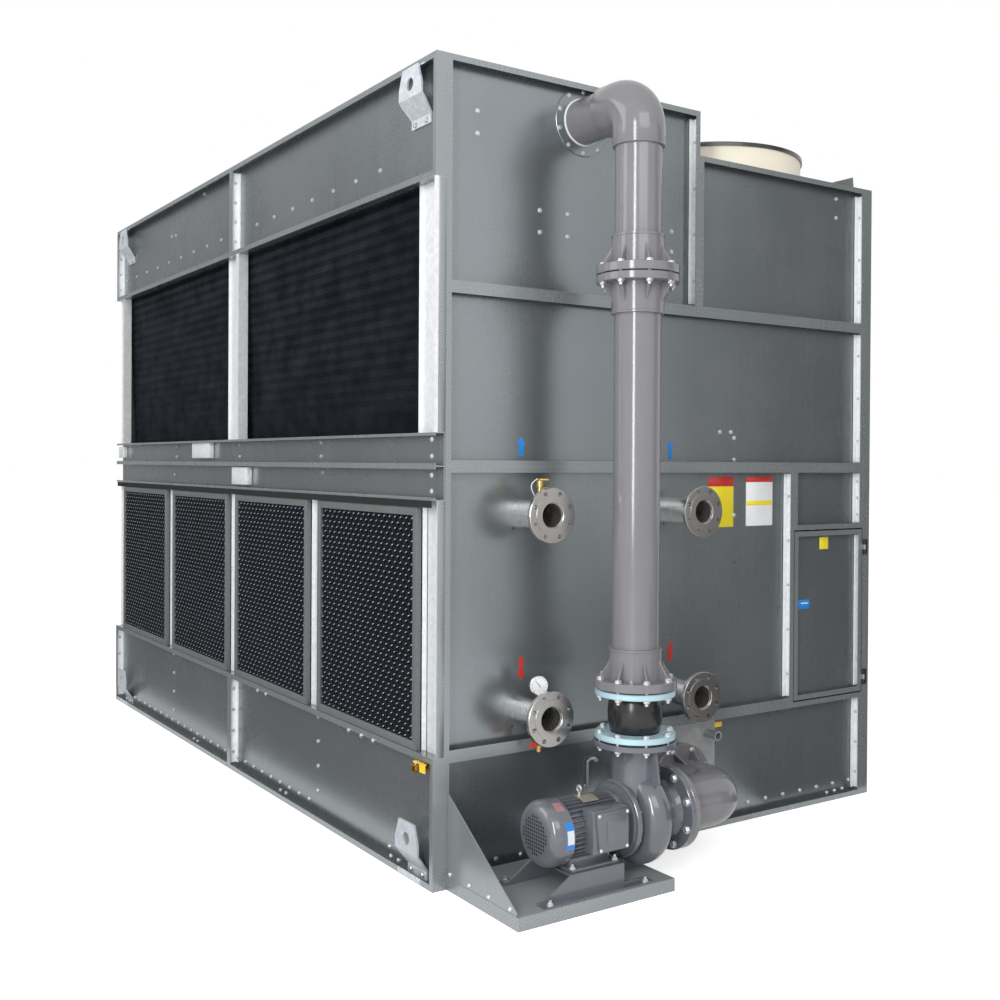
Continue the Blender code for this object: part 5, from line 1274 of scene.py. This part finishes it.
# %% [markdown]
# Flow arrows and plates are thin painted sheet. They carry no words or signs, only their plain colours.

# %% Plain plates and flow arrows


def plate(name, x0, x1, z0, z1, paint, proud=0.0012, y=None, body_name=tower):
    back_y = front_web if y is None else y
    shape = brick((x0, back_y - proud, z0), (x1, back_y, z1), 0.0004)
    finished(name, shape, paint, body=body_name)


plate("plate_yellow", 1.427, 1.588, 1.365, 1.553, label_yellow)
plate("plate_yellow_head", 1.427, 1.588, 1.554, 1.597, label_red)
plate("plate_white", 1.670, 1.846, 1.366, 1.572, label_white)
plate("plate_white_head", 1.670, 1.846, 1.573, 1.597, label_red)
plate("plate_white_band", 1.674, 1.842, 1.462, 1.484, label_yellow, 0.0016)
plate("door_plate_yellow", 2.160, 2.222, 1.240, 1.300, label_yellow, y=0.027, body_name="door")
plate("door_plate_blue", 1.975, 2.090, 0.955, 0.998, label_blue, y=0.027, body_name="door")
plate("door_plate_white", 2.030, 2.080, 0.979, 0.985, label_white, 0.0016, y=0.027, body_name="door")
stem_half, head_half, head_length = 0.011, 0.0205, 0.034
arrows = (("blue_near", label_blue, 0.386, 1.684, 1.765), ("blue_far", label_blue, 1.195, 1.677, 1.761),
          ("red_near", label_red, 0.392, 0.863, 0.769), ("red_far", label_red, 1.203, 0.855, 0.769))
for name, paint, x, tail, tip in arrows:
    way = math.copysign(1.0, tip - tail)
    neck_z = tip - way * head_length
    outline = [(x - stem_half, tail), (x + stem_half, tail), (x + stem_half, neck_z), (x + head_half, neck_z),
               (x, tip), (x - head_half, neck_z), (x - stem_half, neck_z)]
    arrow = slab(outline, columns(place(0, front_web, 0), *across_front), 0.0012)
    finished("arrow_" + name, arrow, paint)
print("plates and arrows made, pieces so far:", len(made_pieces))

# %% [markdown]
# The studio is a pale floor under an even white sky. The floor is seen as white by the camera, and takes
# the object's shadow because it is an ordinary surface lit by the same lamps. Three big soft lamps stand
# to the left, beside the inlets and in front. Four dark or grey sheets that only reflections see give the
# satin steel something to mirror, so the panels fall off from light to dark as they do in a yard.

# %% Floor, sky and lamps
sheet = bmesh.new()
bmesh.ops.create_grid(sheet, x_segments=1, y_segments=1, size=60.0)
bmesh.ops.translate(sheet, verts=sheet.verts, vec=(0, 0, -0.0005))
studio_floor = linked("studio_floor", sheet)
floor_paint = Paint("studio_floor")
studio_floor.data.materials.append(floor_paint.finish((0.86, 0.86, 0.86), 0.9, 0.0))
camera_ray = floor_paint.node("ShaderNodeLightPath", out="Is Camera Ray")
glossy_ray = floor_paint.node("ShaderNodeLightPath", out="Is Glossy Ray")
glow = floor_paint.node("ShaderNodeEmission", {}, {"Strength": 0.62})
plain = glossy_ray * 0.45 + camera_ray
matt = Value(floor_paint, floor_paint.shader.outputs[0])
lit = floor_paint.node("ShaderNodeAddShader", {}, {0: glow, 1: matt})
seen = floor_paint.node("ShaderNodeMixShader", {}, {0: plain, 1: matt, 2: lit})
floor_paint.tree.links.new(seen.socket, floor_paint.tree.nodes["Material Output"].inputs["Surface"])

world = bpy.data.worlds.new("sky")
world.use_nodes = True
bpy.context.scene.world = world
tree = world.node_tree
background = tree.nodes["Background"]
background.inputs["Color"].default_value = (1, 1, 1, 1)
rays = tree.nodes.new("ShaderNodeLightPath")
seen = tree.nodes.new("ShaderNodeMath")
seen.operation = "MAXIMUM"
tree.links.new(rays.outputs["Is Camera Ray"], seen.inputs[0])
glass = tree.nodes.new("ShaderNodeMath")
glass.operation = "MAXIMUM"
tree.links.new(rays.outputs["Is Glossy Ray"], glass.inputs[0])
tree.links.new(rays.outputs["Is Transmission Ray"], glass.inputs[1])
tree.links.new(glass.outputs[0], seen.inputs[1])
strength = tree.nodes.new("ShaderNodeMapRange")
strength.inputs["To Min"].default_value = 0.55
strength.inputs["To Max"].default_value = 1.0
tree.links.new(seen.outputs[0], strength.inputs["Value"])
tree.links.new(strength.outputs["Result"], background.inputs["Strength"])


def lamp(name, position, target, size, power):
    """A soft rectangular lamp turned towards a point."""
    light = bpy.data.lights.new(name, "AREA")
    light.shape = "RECTANGLE"
    light.size, light.size_y = size
    light.energy = power
    lit = bpy.data.objects.new(name, light)
    aim = (Vector(target) - Vector(position)).to_track_quat("-Z", "Y")
    lit.matrix_world = Matrix.Translation(position) @ aim.to_matrix().to_4x4()
    bpy.context.scene.collection.objects.link(lit)


def screen(name, corners, tone):
    """A dark sheet that only reflections see, so it stands in no other view's way."""
    shape = bmesh.new()
    shape.faces.new([shape.verts.new(place(*corner)) for corner in corners])
    made = linked(name, shape, Paint(name).finish((tone, tone, tone), 0.9, 0.0))
    made.visible_camera = False
    made.visible_diffuse = False
    made.visible_shadow = False


screen("front_screen", [(9.3, -9, 0), (26, -9, 0), (26, -9, 8), (9.3, -9, 8)], 0.03)
screen("front_mat", [(4.6, -9, 0.01), (26, -9, 0.01), (26, -0.05, 0.01), (1.9, -0.05, 0.01)], 0.05)
screen("side_screen", [(-4.5, 5, 0), (-4.5, 26, 0), (-4.5, 26, 7), (-4.5, 5, 7)], 0.40)
screen("side_mat", [(-6, 0, 0.01), (-0.2, 0, 0.01), (-0.2, 26, 0.01), (-6, 26, 0.01)], 0.16)
lamp("left_lamp", (-7.2, -6.6, 3.4), (0, -0.5, 1.8), (1.3, 5.0), 360.0)
lamp("side_lamp", (-8.5, 2.0, 6.0), (-1.2, 0.5, 1.5), (6.0, 5.0), 260.0)
lamp("front_lamp", (-2.6, -9.5, 6.0), (0, -1, 1.5), (6.0, 4.0), 230.0)

bpy.context.scene.view_settings.view_transform = "Standard"
print("studio ready")
